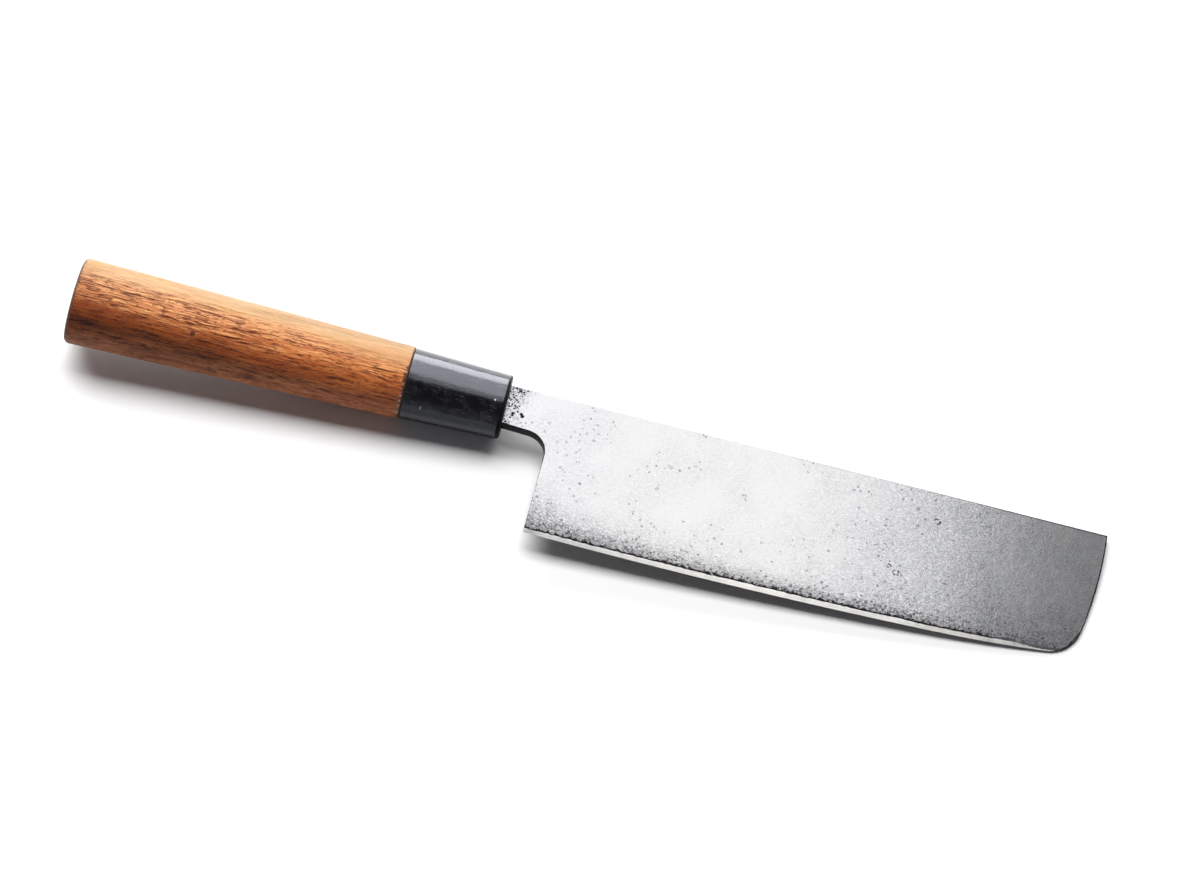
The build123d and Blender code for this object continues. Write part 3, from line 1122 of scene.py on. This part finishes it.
@dataclass(frozen=True)
class ResinBed:
    """Bedding: dark amber resin with small bubbles and scraped patches."""

    amber: tuple = (0.22, 0.12, 0.04, 1)
    cloudy: tuple = (0.38, 0.27, 0.14, 1)

    def build(self, bench: Bench) -> bpy.types.Material:
        """Returns: the material."""
        t, own = bench.start("resin_bed")
        bubbles = t.group("pits", own, Cell=0.9, Share=0.3, Radius=0.25, Softness=0.08)["Mask"]
        specks = t.group("speckle", own, Size=0.5, Contrast=0.3)
        colour = t.mix(specks["Patches"].remap(0.4, 0.65), self.amber, self.cloudy)
        normal = t.bump(bubbles * -1.0, 0.05)
        return t.shade(Base_Color=colour, Roughness=specks["Value"] * 0.25 + 0.18, Normal=normal, IOR=1.55)


# Blade


class BladeForm:
    """The blade as a shape: outline, thickness, and the line where the core comes out of the cladding."""

    LAMINATION_X = (13.0, 45.0, 75.0, 120.0, 144.0, 172.0)
    LAMINATION_WIDTH = (1.2, 1.45, 1.55, 1.5, 1.25, 1.15)
    WANDER_SEED = 11
    WANDER = ((7.0, 0.3, 0.22), (1.1, 9.3, 0.26))
    BITES = (2.1, 5.6, 0.78, 1.2)
    SOFTNESS = 0.03
    FRONT_REACH = 30.0
    FRONT_GAPS = (1.2, 0.8, 0.5, 0.3, 0.16, 0.07, 0.0)
    FAN_BELOW = 25.0
    FAN_ABOVE = (9.0, 32.0)
    LOW_MIDDLE = 100
    HIGH_MIDDLE = 10
    RIM_START = 30
    RIM_STEPS = (4, 6, 20)

    def __init__(self, sizes: KnifeSizes) -> None:
        """Args: sizes, the knife's sizes."""
        s = self.sizes = sizes
        self.belly = np.array([s.edge_lowest_x, s.belly_radius - s.edge_depth])
        self.belly_end = self.on_arc(self.belly, s.belly_radius, s.belly_end_x)
        self.tip_belly = blend(self.belly_end, self.belly, s.tip_belly_radius / s.belly_radius)
        corner = self.on_arc(self.tip_belly, s.tip_belly_radius, s.corner_x)
        top = np.array([s.blade_length, s.spine_height])
        middle = np.array([s.blade_length + s.front_bulge, s.spine_height - s.front_bulge_drop])
        self.front, self.front_radius = circle_through(top, middle, corner)
        self.wander = Lattice(self.WANDER_SEED)
        self.make_sides(corner, top)

    @staticmethod
    def on_arc(centre: np.ndarray, radius: float, x: float) -> np.ndarray:
        """Point at x on the lower side of a circle."""
        return np.array([x, centre[1] - math.sqrt(radius**2 - (x - centre[0]) ** 2)])

    def make_sides(self, corner: np.ndarray, top: np.ndarray) -> None:
        """Makes the sides of the outline: heel, edge, front and spine, and the rim, all but the edge.

        Edge and front meet in the middle of the lower corner's arc, front and spine in that of the upper one.

        Args:
            corner: where edge and front would meet without the rounding.
            top: where spine and front would meet without it.
        """
        s = self.sizes
        neck = np.array([0.0, s.spine_height - s.neck_height])
        choil = np.array([s.heel_top_x, neck[1] - s.neck_drop])
        heel = self.on_arc(self.belly, s.belly_radius, s.heel_bottom_x)
        back, down = ((p - choil) / np.linalg.norm(p - choil) for p in (neck, heel))
        half = math.acos(back @ down) / 2
        neck_end, heel_start = (choil + d * s.choil_radius / math.tan(half) for d in (back, down))
        centre = choil + (back + down) / np.linalg.norm(back + down) * s.choil_radius / math.sin(half)

        r = s.front_corner_radius
        low = circles_meet(self.tip_belly, s.tip_belly_radius - r, self.front, self.front_radius - r, corner)
        low_start = self.tip_belly + (low - self.tip_belly) * s.tip_belly_radius / (s.tip_belly_radius - r)
        low_end = self.front + (low - self.front) * self.front_radius / (self.front_radius - r)
        r = s.front_top_radius
        high_y = s.spine_height - r
        reach = math.sqrt((self.front_radius - r) ** 2 - (high_y - self.front[1]) ** 2)
        high = np.array([self.front[0] + reach, high_y])
        high_start = self.front + (high - self.front) * self.front_radius / (self.front_radius - r)
        high_end = np.array([high[0], s.spine_height])

        low_arc = arc_points(low, low_start, low_end, 2 * self.LOW_MIDDLE + 1)
        high_arc = arc_points(high, high_start, high_end, 2 * self.HIGH_MIDDLE + 1)
        edge = joined(
            arc_points(self.belly, heel, self.belly_end, 600),
            arc_points(self.tip_belly, self.belly_end, low_start, 200),
            low_arc[: self.LOW_MIDDLE + 1],
        )
        bend = arc_points(centre, neck_end, heel_start)
        heel_side = joined(line_points(neck, neck_end), bend, line_points(heel_start, heel, 300))
        straight = arc_points(self.front, low_end, high_start, 200)
        front = joined(low_arc[self.LOW_MIDDLE :], straight, high_arc[: self.HIGH_MIDDLE + 1])
        top_line = line_points(np.array([0.0, s.spine_height]), high_end, 400)
        spine = joined(top_line, high_arc[: self.HIGH_MIDDLE - 1 : -1])
        self.heel_side, self.edge_side = heel_side, edge
        self.front_side, self.spine_side = Path(front), Path(spine)
        self.bottom_marks = np.array([neck_end[0], Path(heel_side).length])
        by_heel, by_front, by_spine = self.RIM_STEPS
        corner_rim = low_arc[self.RIM_START :: by_front]
        self.rim = (heel_side[::by_heel], joined(corner_rim, front[::by_front]), spine[::by_spine])

    def edge_distance(self, points: np.ndarray) -> np.ndarray:
        """Distance from the cutting edge's two bellies: radius less distance to the centre.

        Args:
            points: (n, 2).

        Returns:
            (n,), positive on the blade's side.
        """
        s = self.sizes
        first = s.belly_radius - np.linalg.norm(points - self.belly, axis=1)
        second = s.tip_belly_radius - np.linalg.norm(points - self.tip_belly, axis=1)
        return np.where(points[:, 0] < s.belly_end_x, first, second)

    def lamination(self, x: np.ndarray) -> np.ndarray:
        """Width of the bright strip at x: a slow swell, two sizes of wander, and bites where the noise peaks.

        Args:
            x: where, in millimetres.

        Returns:
            The width there. WANDER has length, row of the field and reach, BITES length, row, limit, reach.
        """
        width = np.interp(x, self.LAMINATION_X, self.LAMINATION_WIDTH)
        for length, row, reach in self.WANDER:
            width = width + reach * (self.wander.at(x / length, np.full_like(x, row)) - 0.5)
        length, row, limit, reach = self.BITES
        return width - reach * np.clip(self.wander.at(x / length, np.full_like(x, row)) - limit, 0, 1)

    def thickness(self, points: np.ndarray) -> np.ndarray:
        """Half the thickness: the lesser of flat face and convex grind, blended over a few hundredths.

        The face falls by its slopes from spine and neck. The grind is a chord from the strip to its top plus
        a bulge of b (1 - (2t - 1)²), and the strip a straight bevel. The blend is the soft minimum
        -k ln(e^(-a/k) + e^(-b/k)).

        Args:
            points: (n, 2).

        Returns:
            (n,) half thickness.
        """
        s = self.sizes
        d = self.edge_distance(points)
        below_spine = s.spine_height - points[:, 1]
        face = s.neck_thickness / 2 - s.taper_slope * points[:, 0] - s.face_slope * below_spine
        t = (d - s.strip_width) / (s.grind_height - s.strip_width)
        chord = s.strip_thickness / 2 + (s.grind_thickness - s.strip_thickness) / 2 * t
        ground = chord + s.grind_bulge * (1 - (2 * t - 1) ** 2)
        ground = np.where(t > 1, s.neck_thickness, ground)
        bevel = s.edge_land / 2 + (s.strip_thickness - s.edge_land) / 2 * d / s.strip_width
        blended = -self.SOFTNESS * np.logaddexp(-face / self.SOFTNESS, -ground / self.SOFTNESS)
        above = np.maximum(blended, s.strip_thickness / 2)
        return np.where(d < s.strip_width, np.minimum(bevel, face), above)

    def bottom(self, laminated: bool) -> Path:
        """The lower side of the outline.

        Args:
            laminated: the edge is drawn in to the lamination line, as the cladding's is.

        Returns:
            The path from the neck round choil and heel and along the edge to the lower front corner.
        """
        heel_side, edge_side = self.heel_side, self.edge_side
        if laminated:
            distance = self.edge_distance(edge_side)
            width = self.lamination(edge_side[:, 0])
            centre = np.where(edge_side[:, :1] < self.sizes.belly_end_x, self.belly, self.tip_belly)
            inwards = (centre - edge_side) / np.linalg.norm(centre - edge_side, axis=1, keepdims=True)
            edge_side = edge_side + inwards * np.clip(width - distance, 0, None)[:, None]
            heel_side = heel_side[self.edge_distance(heel_side) > width[0] + 0.02]
        return Path(np.concatenate([heel_side, edge_side[0 if laminated else 1 :]]))

    def grid(
        self, laminated: bool, spacing: float, low_rows: tuple, inner_rows: int, high_rows: tuple
    ) -> np.ndarray:
        """A grid over the outline: rulings from lower side to spine, bowed out to the front at the end.

        Point = (1 - v) bottom(u) + v spine(u) + w(u) (front(v) - the straight line there), with v set so that
        the first and last rows keep their distance in millimetres from the lower side and from the spine.

        Args:
            laminated: see bottom.
            spacing: distance between columns along the lower side.
            low_rows, high_rows: distances of the outer rows from the lower side and from the spine.
            inner_rows: rows between them.

        Returns:
            (rows, columns, 2).
        """
        bottom = self.bottom(laminated)
        close = bottom.length - np.array(self.FRONT_GAPS)
        stations = np.concatenate([np.linspace(0, close[0], int(bottom.length / spacing)), close[1:]])
        neck_end, heel = self.bottom_marks
        marks = [0, neck_end, heel, heel + self.FAN_BELOW, bottom.length]
        above = [self.sizes.heel_bottom_x + reach for reach in self.FAN_ABOVE]
        top_stations = np.interp(stations, marks, [0, neck_end, *above, self.spine_side.length])
        low, high = bottom.at(stations), self.spine_side.at(top_stations)
        ruling = np.linalg.norm(high - low, axis=1)
        inner = np.linspace(0, 1, inner_rows + 2)[1:-1, None]
        first = np.array(low_rows)[:, None] * np.ones_like(ruling)
        last = ruling - np.array(high_rows)[::-1, None]
        rows = np.concatenate([first, blend(first[-1], last[0], inner), last])
        v = (rows / ruling)[..., None]
        straight = (1 - v) * low + v * high
        end_line = (1 - v) * low[-1] + v * high[-1]
        weight = np.clip(1 - (bottom.length - stations) / self.FRONT_REACH, 0, 1) ** 2
        bow = self.front_side.at(v[..., 0] * self.front_side.length) - end_line
        return straight + weight[None, :, None] * bow


@dataclass
class Blade:
    """The laminated blade and its tang: a core between an upper and a lower cladding."""

    form: BladeForm
    pose: RestPose
    arris_radius: float = 0.22
    column_spacing: float = 0.27
    cladding_rows: int = 66
    core_rows: int = 4
    tang_sections: int = 24
    low_rows: tuple = (0.0, 0.05, 0.12, 0.22, 0.36, 0.55, 0.8, 1.1, 1.5, 2.0, 2.6, 3.3, 4.1)
    high_rows: tuple = (0.0, 0.04, 0.09, 0.16, 0.26, 0.5)
    core_low_rows: tuple = (0.0, 0.1, 0.3, 0.5, 0.7, 0.9, 1.1, 1.3, 1.5, 1.7, 2.0)
    core_high_rows: tuple = (0.0, 0.5)
    relief: tuple = ((13.0, 8.0, 0.02, 0.0), (2.3, 1.9, 0.006, 1.2), (0.9, 0.8, 0.005, 2.0))
    relief_seed: int = 20
    seeds_apart: int = 4
    grind_reach: float = 8.0
    rim_fade: float = 0.5
    thin_fade: float = 0.06
    least_relief: float = 0.15
    least_cover: float = 0.004
    core_sharp: float = 8.0

    def rim_distance(self, points: np.ndarray) -> np.ndarray:
        """Distance to the rim of the blade, the cutting edge left out, for points (n, 2)."""
        return np.min([distance_to_path(points, path) for path in self.form.rim], axis=0)

    def pear_skin(self, points: np.ndarray, side: Side) -> np.ndarray:
        """Depth of the pear-skin relief: three sizes of smooth random field, deeper towards the edge.

        Args:
            points: (n, 2).
            side: the side of the blade, which has its own fields.

        Returns:
            (n,) depth in millimetres, at least 0. The relief's fields are length, height, depth and how much
            deeper it is at the edge.
        """
        x, y = points.T
        grind = np.clip(1 - self.form.edge_distance(points) / self.grind_reach, 0, 1)
        total = np.zeros(len(points))
        seeds = enumerate(self.relief, self.relief_seed + self.seeds_apart * side.value)
        for seed, (length, height, depth, deeper) in seeds:
            layer = Lattice(seed).at(x / length + Lattice.START, y / height + Lattice.START)
            total = total + layer * depth * (1 + deeper * grind)
        return total

    def eased(self, thickness: np.ndarray, rim: np.ndarray) -> np.ndarray:
        """Half thickness with its arris rounded: less by r - √(r² - (r - e)²) within r of the rim."""
        r = self.arris_radius
        inside = np.clip(r - rim, 0, r)
        return thickness - (r - np.sqrt(r**2 - inside**2))

    def tang(self, low_z: float, high_z: float, end_z: float) -> Skin:
        """The share of the tang that belongs to one layer.

        Args:
            low_z: the layer's inner side.
            high_z, end_z: its outer side at the root and at the end.

        Returns:
            The skin of a tapering bar.
        """
        s = self.form.sizes
        share = np.linspace(0, 1, self.tang_sections)
        half = blend(s.tang_root_height, s.tang_end_height, share) / 2
        inner, outer = np.full_like(share, low_z), blend(high_z, end_z, share)
        return bar(np.stack([-s.tang_length * share, -half, half, inner, outer], axis=1))

    def core_skin(self) -> Skin:
        """Skin of the core: a plate that thins to the edge's land, by a bevel as wide as the strip."""
        s = self.form.sizes
        half = s.core_thickness / 2
        xy = self.form.grid(
            False, self.column_spacing, self.core_low_rows, self.core_rows, self.core_high_rows
        )
        flat = xy.reshape(-1, 2)
        distance = self.form.edge_distance(flat)
        width = self.form.lamination(flat[:, 0])
        z = blend(s.edge_land / 2, half, np.clip(distance / width, 0, 1)).reshape(xy.shape[:2])
        upper = np.concatenate([xy, z[..., None]], axis=2)
        skin = plate(upper, upper * [1, 1, -1])
        skin.values["edge_mm"] = np.tile(distance, 2)
        return skin.with_skin(self.tang(-half, half, half))

    def cladding_skin(self, side: Side) -> Skin:
        """Skin of one cladding: the ground and pitted outer surface on a flat back against the core.

        Args:
            side: which cladding.

        Returns:
            The skin, with the distances to the step over the bright strip and to the rim.
        """
        s = self.form.sizes
        half = s.core_thickness / 2
        xy = self.form.grid(True, self.column_spacing, self.low_rows, self.cladding_rows, self.high_rows)
        flat = xy.reshape(-1, 2)
        rim = self.rim_distance(flat)
        z = self.eased(self.form.thickness(flat), rim)
        fade = np.clip(rim / self.rim_fade, 0, 1) * np.clip((z - half) / self.thin_fade, self.least_relief, 1)
        z = np.maximum(z - self.pear_skin(flat, side) * fade, half + self.least_cover)
        outer = np.concatenate([xy, z.reshape(*xy.shape[:2], 1)], axis=2)
        skin = flat_backed(outer, half)
        distance = self.form.edge_distance(skin.points[:, :2])
        skin.values["step_mm"] = np.clip(distance - self.form.lamination(skin.points[:, 0]), 0, None)
        skin.values["rim_mm"] = np.concatenate([rim, np.zeros(len(skin.points) - len(rim))])
        skin = skin.outwards().with_skin(self.tang(half, s.tang_root_thickness / 2, s.tang_end_thickness / 2))
        skin.points[:, 2] *= side.value
        return skin.outwards()

    def build(self, cladding: bpy.types.Material, core: bpy.types.Material) -> list[bpy.types.Object]:
        """Makes the three layers.

        Args:
            cladding, core: their finishes.

        Returns:
            The pieces.
        """
        made = []
        for side in Side:
            name = f"cladding_{side.name.lower()}"
            piece = make_piece(f"{name}_steel", self.cladding_skin(side), self.pose, cladding)
            made.append(settle(piece, name))
        piece = make_piece("core_steel_layer", self.core_skin(), self.pose, core, self.core_sharp)
        return [*made, settle(piece, "core_steel")]


def settle(piece: bpy.types.Object, node: str) -> bpy.types.Object:
    """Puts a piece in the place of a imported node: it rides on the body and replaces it."""
    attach(piece, BODY)
    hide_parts(node)
    return piece


# Handle


@dataclass
class Handle:
    """The oval handle: a black ferrule and a wooden grip, bored for the dowel and slotted for the tang."""

    sizes: KnifeSizes
    pose: RestPose
    ring_points: int = 240
    ferrule_steps: int = 90
    grip_steps: int = 300
    rim_steps: int = 10
    seam_rim_steps: int = 5
    butt_rim_steps: int = 14
    slot_steps: int = 12
    ferrule_bore_steps: int = 12
    grip_bore_steps: int = 10
    ferrule_faces: tuple = (8, 3, 4)
    grip_faces: tuple = (4, 3, 12)
    slot_squareness: float = 14.0
    butt_middle: float = 0.3
    hand_work: float = 0.05
    hand_seeds: tuple = (77, 78)
    hand_lengths: tuple = (17.0, 6.0)
    hair: float = 1e-6

    def oval(self, x: float) -> tuple[float, float]:
        """Half height and half width of the handle at x: straight from front to seam and seam to butt."""
        s = self.sizes
        front, seam = (s.front_height / 2, s.front_width / 2), (s.seam_height / 2, s.seam_width / 2)
        if x > -s.ferrule_length:
            share, start, end = -x / s.ferrule_length, front, seam
        else:
            share = (-x - s.ferrule_length) / s.grip_length
            start, end = tuple(v + s.grip_step for v in seam), (s.butt_height / 2, s.butt_width / 2)
        return tuple(blend(a, b, share) for a, b in zip(start, end))

    def grip_oval(self, x: float) -> tuple[float, float]:
        """The same with the grip's own oval at the seam and before it."""
        return self.oval(min(x, -self.sizes.ferrule_length - self.hair))

    def slot(self, x: float) -> Ring:
        """The slot for the tang and its bedding at x."""
        s = self.sizes
        share = -x / (s.tang_length + s.bedding_end)
        high = blend(s.tang_root_height, s.tang_end_height, share) / 2 + s.bedding_thickness
        wide = blend(s.tang_root_thickness, s.tang_end_thickness, share) / 2 + s.bedding_thickness
        return Ring(x, high, wide, self.slot_squareness)

    def bore(self, x: float) -> Ring:
        """The bore for the dowel at x."""
        radius = self.sizes.dowel_diameter / 2 + self.sizes.dowel_clearance
        return Ring(x, radius, radius)

    def side(self, x: float) -> Ring:
        """The outer side at x."""
        return Ring(x, *self.oval(x))

    @staticmethod
    def run(profile: Callable[[float], Ring], start: float, end: float, steps: int) -> list[Ring]:
        """Rings of a profile from start to end."""
        return [profile(x) for x in np.linspace(start, end, steps)]

    @staticmethod
    def chain(runs: list[list[Ring]], faces: tuple) -> list[Ring]:
        """Puts runs of rings end to end, with a flat face between each two.

        Args:
            runs: the runs, in order along the skin.
            faces: how many rings each face has; they go in a straight line from outline to outline.

        Returns:
            The rings.
        """
        rings = list(runs[0])
        for steps, run in zip(faces, runs[1:]):
            start, end = rings[-1], run[0]
            for share in np.linspace(0, 1, steps + 2)[1:-1]:
                high = blend(start.half_height, end.half_height, share)
                wide = blend(start.half_width, end.half_width, share)
                square = blend(start.squareness, end.squareness, min(1.0, 2 * share))
                rings.append(Ring(start.x, high, wide, square))
            rings.extend(run)
        return rings

    def rounded(self, x: float, inwards: float, radius: float, steps: int) -> list[Ring]:
        """Rings over a rounded rim whose face is at x, from the face to the side.

        Args:
            x: where the face is.
            inwards: 1 if the piece lies towards greater x, -1 if towards lesser x.
            radius: of the rounding.
            steps: rings in the rounding.

        Returns:
            The rings: x + r (1 - cos a) inwards, and the oval less r (1 - sin a).
        """
        rings = []
        oval = self.grip_oval if x < -self.sizes.ferrule_length else self.oval
        for angle in np.linspace(0, math.pi / 2, steps):
            at = x + inwards * radius * (1 - math.cos(angle))
            high, wide = oval(at)
            less = radius * (1 - math.sin(angle))
            rings.append(Ring(at, high - less, wide - less))
        return rings

    def ferrule_rings(self) -> list[Ring]:
        """Rings of the ferrule: slot, front face, rim, side, seam face, bore, the bore's end and the slot."""
        s = self.sizes
        seam, wall = -s.ferrule_length, -s.ferrule_front_wall
        front = self.rounded(0.0, -1, s.front_rim_radius, self.rim_steps)
        back = self.rounded(seam + self.hair, 1, s.ferrule_rim_ease, self.seam_rim_steps)[::-1]
        side = self.run(self.side, front[-1].x, back[0].x, self.ferrule_steps)[1:-1]
        bore = self.run(self.bore, seam, wall, self.ferrule_bore_steps)
        runs = [[self.slot(0.0)], [*front, *side, *back], bore, [self.slot(wall)]]
        return self.chain(runs, self.ferrule_faces)

    def grip_rings(self) -> list[Ring]:
        """Rings of the grip: the slot's end, its wall, the bore, seam face, rim, side, butt rim and butt."""
        s = self.sizes
        seam, butt = -s.ferrule_length, -s.handle_length
        depth = seam - (s.dowel_length - (s.ferrule_length - s.ferrule_front_wall) + s.dowel_end_gap)
        slot = self.run(self.slot, -s.tang_length - s.bedding_end, depth, self.slot_steps)
        bore = self.run(self.bore, depth, seam, self.grip_bore_steps)
        front = self.rounded(seam - self.hair, -1, s.grip_rim_radius, self.rim_steps)
        back = self.rounded(butt, 1, s.butt_rim_radius, self.butt_rim_steps)[::-1]
        side = self.run(self.side, front[-1].x, back[0].x, self.grip_steps)[1:-1]
        middle = Ring(butt, self.butt_middle, self.butt_middle)
        return self.chain([slot, bore, [*front, *side, *back], [middle]], self.grip_faces)

    def worked(self, skin: Skin) -> Skin:
        """The skin drawn in by a slow random field, as a hand-shaped bar is never quite true.

        Args:
            skin: the grip's.

        Returns:
            The same skin; only points near the outer side have moved, by up to hand_work.
        """
        x, y, z = skin.points.T
        high, wide = np.array([self.grip_oval(v) for v in x]).T
        outer = np.clip((np.hypot(y / high, z / wide) - 0.8) / 0.2, 0, 1)
        angle = np.arctan2(z, y)
        slow, quick = (Lattice(seed) for seed in self.hand_seeds)
        long, short = (x / length + Lattice.START for length in self.hand_lengths)
        waves = slow.at(long, 2.5 * np.sin(angle) + 10) + quick.at(short, 4 * np.cos(angle) + 20)
        shrink = 1 - self.hand_work * outer * waves / 2 / np.minimum(high, wide)
        skin.points[:, 1] *= shrink
        skin.points[:, 2] *= shrink
        return skin

    def build(self, horn: bpy.types.Material, wood: bpy.types.Material) -> list[bpy.types.Object]:
        """Makes ferrule and grip.

        Args:
            horn, wood: their finishes.

        Returns:
            The pieces.
        """
        ferrule = ring_stack(self.ferrule_rings(), self.ring_points, Ends.LOOP)
        grip = self.worked(ring_stack(self.grip_rings(), self.ring_points, Ends.POLES))
        return [
            settle(make_piece("horn_ferrule", ferrule, self.pose, horn), "ferrule"),
            settle(make_piece("wooden_grip", grip, self.pose, wood), "grip"),
        ]

    def dress(self, dowel: bpy.types.Material, resin: bpy.types.Material) -> None:
        """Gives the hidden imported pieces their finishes."""
        for node, material in (("dowel", dowel), ("tang_bedding", resin)):
            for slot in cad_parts[node].material_slots:
                slot.material = material


# Studio


@dataclass(frozen=True)
class Panel:
    """A soft light, a rectangle that faces the knife. Angles go round the x axis from -y, upwards."""

    name: str
    angle: float
    distance: float
    width: float
    left: float
    right: float
    radiance: float
    reflected: bool = True
    lights_surfaces: bool = True
    colour: tuple = (1.0, 1.0, 1.0)

    def build(self) -> bpy.types.Object:
        """Makes the lamp, whose power is 4 times radiance times area.

        Returns:
            The lamp's object.
        """
        data = bpy.data.lights.new(self.name, "AREA")
        data.shape = "RECTANGLE"
        data.size, data.size_y = self.right - self.left, self.width
        data.color = self.colour
        data.energy = 4 * self.radiance * data.size * data.size_y
        lamp = placed(self.name, data)
        away = Vector((0, -math.cos(math.radians(self.angle)), math.sin(math.radians(self.angle))))
        sideways = Vector((1, 0, 0))
        turn = Matrix((sideways, away.cross(sideways), away)).transposed().to_4x4()
        middle = away * self.distance + sideways * (self.left + self.right) / 2
        lamp.matrix_world = Matrix.Translation(middle) @ turn
        lamp.visible_glossy = self.reflected
        lamp.visible_diffuse = self.lights_surfaces
        return lamp


@dataclass(frozen=True)
class Viewpoint:
    """The camera: turned and tilted round a target in the knife's own frame, then rolled."""

    azimuth: float = 0.674
    elevation: float = 62.777
    roll: float = 13.439
    distance: float = 1500.0
    target: tuple = (29.499, -5.434, 0.0)
    focal_pixels: float = 5141.8
    photo_width: float = 1200.0
    sensor: float = 36.0

    def build(self, pose: RestPose) -> bpy.types.Object:
        """Makes the camera.

        Args:
            pose: of the knife.

        Returns:
            The camera's object.
        """
        azimuth, elevation, roll = (math.radians(v) for v in (self.azimuth, self.elevation, self.roll))
        level = math.cos(elevation)
        back = np.array([math.sin(azimuth) * level, -math.cos(azimuth) * level, math.sin(elevation)])
        right = np.array([math.cos(azimuth), math.sin(azimuth), 0.0])
        up = np.cross(back, right)
        c, s = math.cos(roll), math.sin(roll)
        shared = np.array([pose.turn @ axis for axis in (c * right + s * up, -s * right + c * up, back)])
        place = pose.to_shared((np.array(self.target) + back * self.distance)[None])[0]
        data = bpy.data.cameras.new("camera")
        data.sensor_width = self.sensor
        data.lens = self.focal_pixels / self.photo_width * self.sensor
        data.clip_end = 60.0
        camera = placed("camera", data)
        turn = Matrix(shared.tolist()).transposed().to_4x4()
        camera.matrix_world = Matrix.Translation(Vector(place)) @ turn
        bpy.context.scene.camera = camera
        return camera


@dataclass(frozen=True)
class Studio:
    """A pale table top, the panels over it, and a room, dim overhead, that looks pale only to the camera."""

    panels: tuple = (
        Panel("handle_panel", 123.8, 0.60, 0.439, -0.75, -0.018, 2.25, True, False, (0.93, 0.93, 1.0)),
        Panel("blade_panel", 121.1, 0.60, 0.505, -0.018, 0.190, 1.95, lights_surfaces=False),
        Panel("side_panel", 121.1, 0.60, 0.505, 0.195, 0.50, 0.42, lights_surfaces=False),
        Panel("edge_panel", 92.0, 0.60, 0.116, -0.018, 0.60, 0.95, lights_surfaces=False),
        Panel("middle_panel", 92.0, 0.60, 0.116, -0.75, -0.018, 0.58, lights_surfaces=False),
        Panel("front_panel", 23.0, 0.60, 0.36, 0.06, 0.60, 0.72, lights_surfaces=False),
        Panel("back_panel", 160.0, 0.90, 0.46, -0.80, 0.08, 4.7),
        Panel("back_light", 160.0, 0.90, 0.46, 0.08, 0.70, 4.7, reflected=False),
        Panel("back_mirror", 160.0, 0.90, 0.46, 0.08, 0.70, 0.85, lights_surfaces=False),
        Panel("key_light", 111.0, 1.30, 0.66, -1.50, 0.30, 6.4, reflected=False),
    )
    table_side: float = 12.0
    table_colour: tuple = (0.86, 0.86, 0.865, 1)
    reflected_front: float = 0.30
    reflected_near: float = 0.62
    reflected_back: float = 2.67
    reflected_far: float = 0.7
    overhead: tuple = (0.07, 0.07, 0.075, 1)
    horizon: tuple = (0.30, 0.30, 0.31, 1)
    backdrop: tuple = (0.93, 0.93, 0.94, 1)
    mirrored_share: tuple = (0.55, 0.55, 0.57, 1)
    mirrored_ends: tuple = (0.42, 0.42, 0.43, 1)

    def table(self) -> bpy.types.Object:
        """Makes the table top, matt and very slightly uneven, with painted shade and light that only
        reflections see.
        """
        half = self.table_side / 2
        mesh = bpy.data.meshes.new("table_top")
        corners = [(-half, -half, 0), (half, -half, 0), (half, half, 0), (-half, half, 0)]
        mesh.from_pydata(corners, [], [(0, 1, 2, 3)])
        t = Tree.of_material("pale_table")
        place = t.add("TexCoord", output="Object")
        tone = t.noise(place, 6.0, 3.0).remap(0.3, 0.7, 0.985, 1.0)
        _, y, _ = t.parts(place)
        # Seen only in reflections: painted shade in front of the knife, painted light behind it, dimmed
        # somewhat further back.
        front = y.remap(-0.02, 0.004, self.reflected_front, self.reflected_near)
        back = y.remap(0.0, 0.03, 1.0, self.reflected_back)
        seen = front * back * y.remap(0.045, 0.07, 1.0, self.reflected_far)
        colour = t.multiply(1.0, self.table_colour, t.grey(tone))
        colour = t.multiply(t.add("LightPath", output="Is Glossy Ray"), colour, t.grey(seen))
        mesh.materials.append(t.shade(Base_Color=colour, Roughness=0.75, Specular_IOR_Level=0.2))
        table = placed("table_top", mesh)
        return table

    def surroundings(self) -> bpy.types.World:
        """Makes the world: pale behind the picture, dim in reflections and as light."""
        world = bpy.data.worlds.new("studio_room")
        world.use_nodes = True
        t = Tree(world.node_tree)
        x, _, height = t.parts(t.add("TexCoord", output="Generated"))
        glossy = t.add("LightPath", output="Is Glossy Ray")
        room = t.mix(height.remap(0.15, 0.6), self.horizon, self.overhead)
        room = t.multiply(glossy, room, self.mirrored_share)
        room = t.mix(glossy * abs(x).remap(0.45, 0.70), room, self.mirrored_ends)
        seen = t.mix(glossy.beside("Is Camera Ray"), room, self.backdrop)
        t.feed(world.node_tree.nodes["Background"].inputs["Color"], seen)
        bpy.context.scene.world = world
        return world

    def build(self) -> None:
        """Makes everything around the knife."""
        self.table()
        self.surroundings()
        for panel in self.panels:
            panel.build()
        bpy.context.scene.view_settings.view_transform = "Standard"


def main() -> None:
    """Builds the knife and the studio, in order."""
    logging.basicConfig(level=logging.INFO, format="%(name)s: %(message)s")
    sizes = KnifeSizes()
    pose = RestPose(sizes)
    bench = Bench(pose)
    blade = Blade(BladeForm(sizes), pose)
    handle = Handle(sizes, pose)
    made = blade.build(PearSkinSteel().build(bench), BrightSteel().build(bench))
    made += handle.build(BlackHorn().build(bench), GripWood().build(bench))
    handle.dress(DowelWood().build(bench), ResinBed().build(bench))
    for piece in made:
        log.info("%s: %d points, %d faces", piece.name, len(piece.data.vertices), len(piece.data.polygons))
    Studio().build()
    Viewpoint().build(pose)
    bpy.context.view_layer.update()


if __name__ == "__main__":
    main()
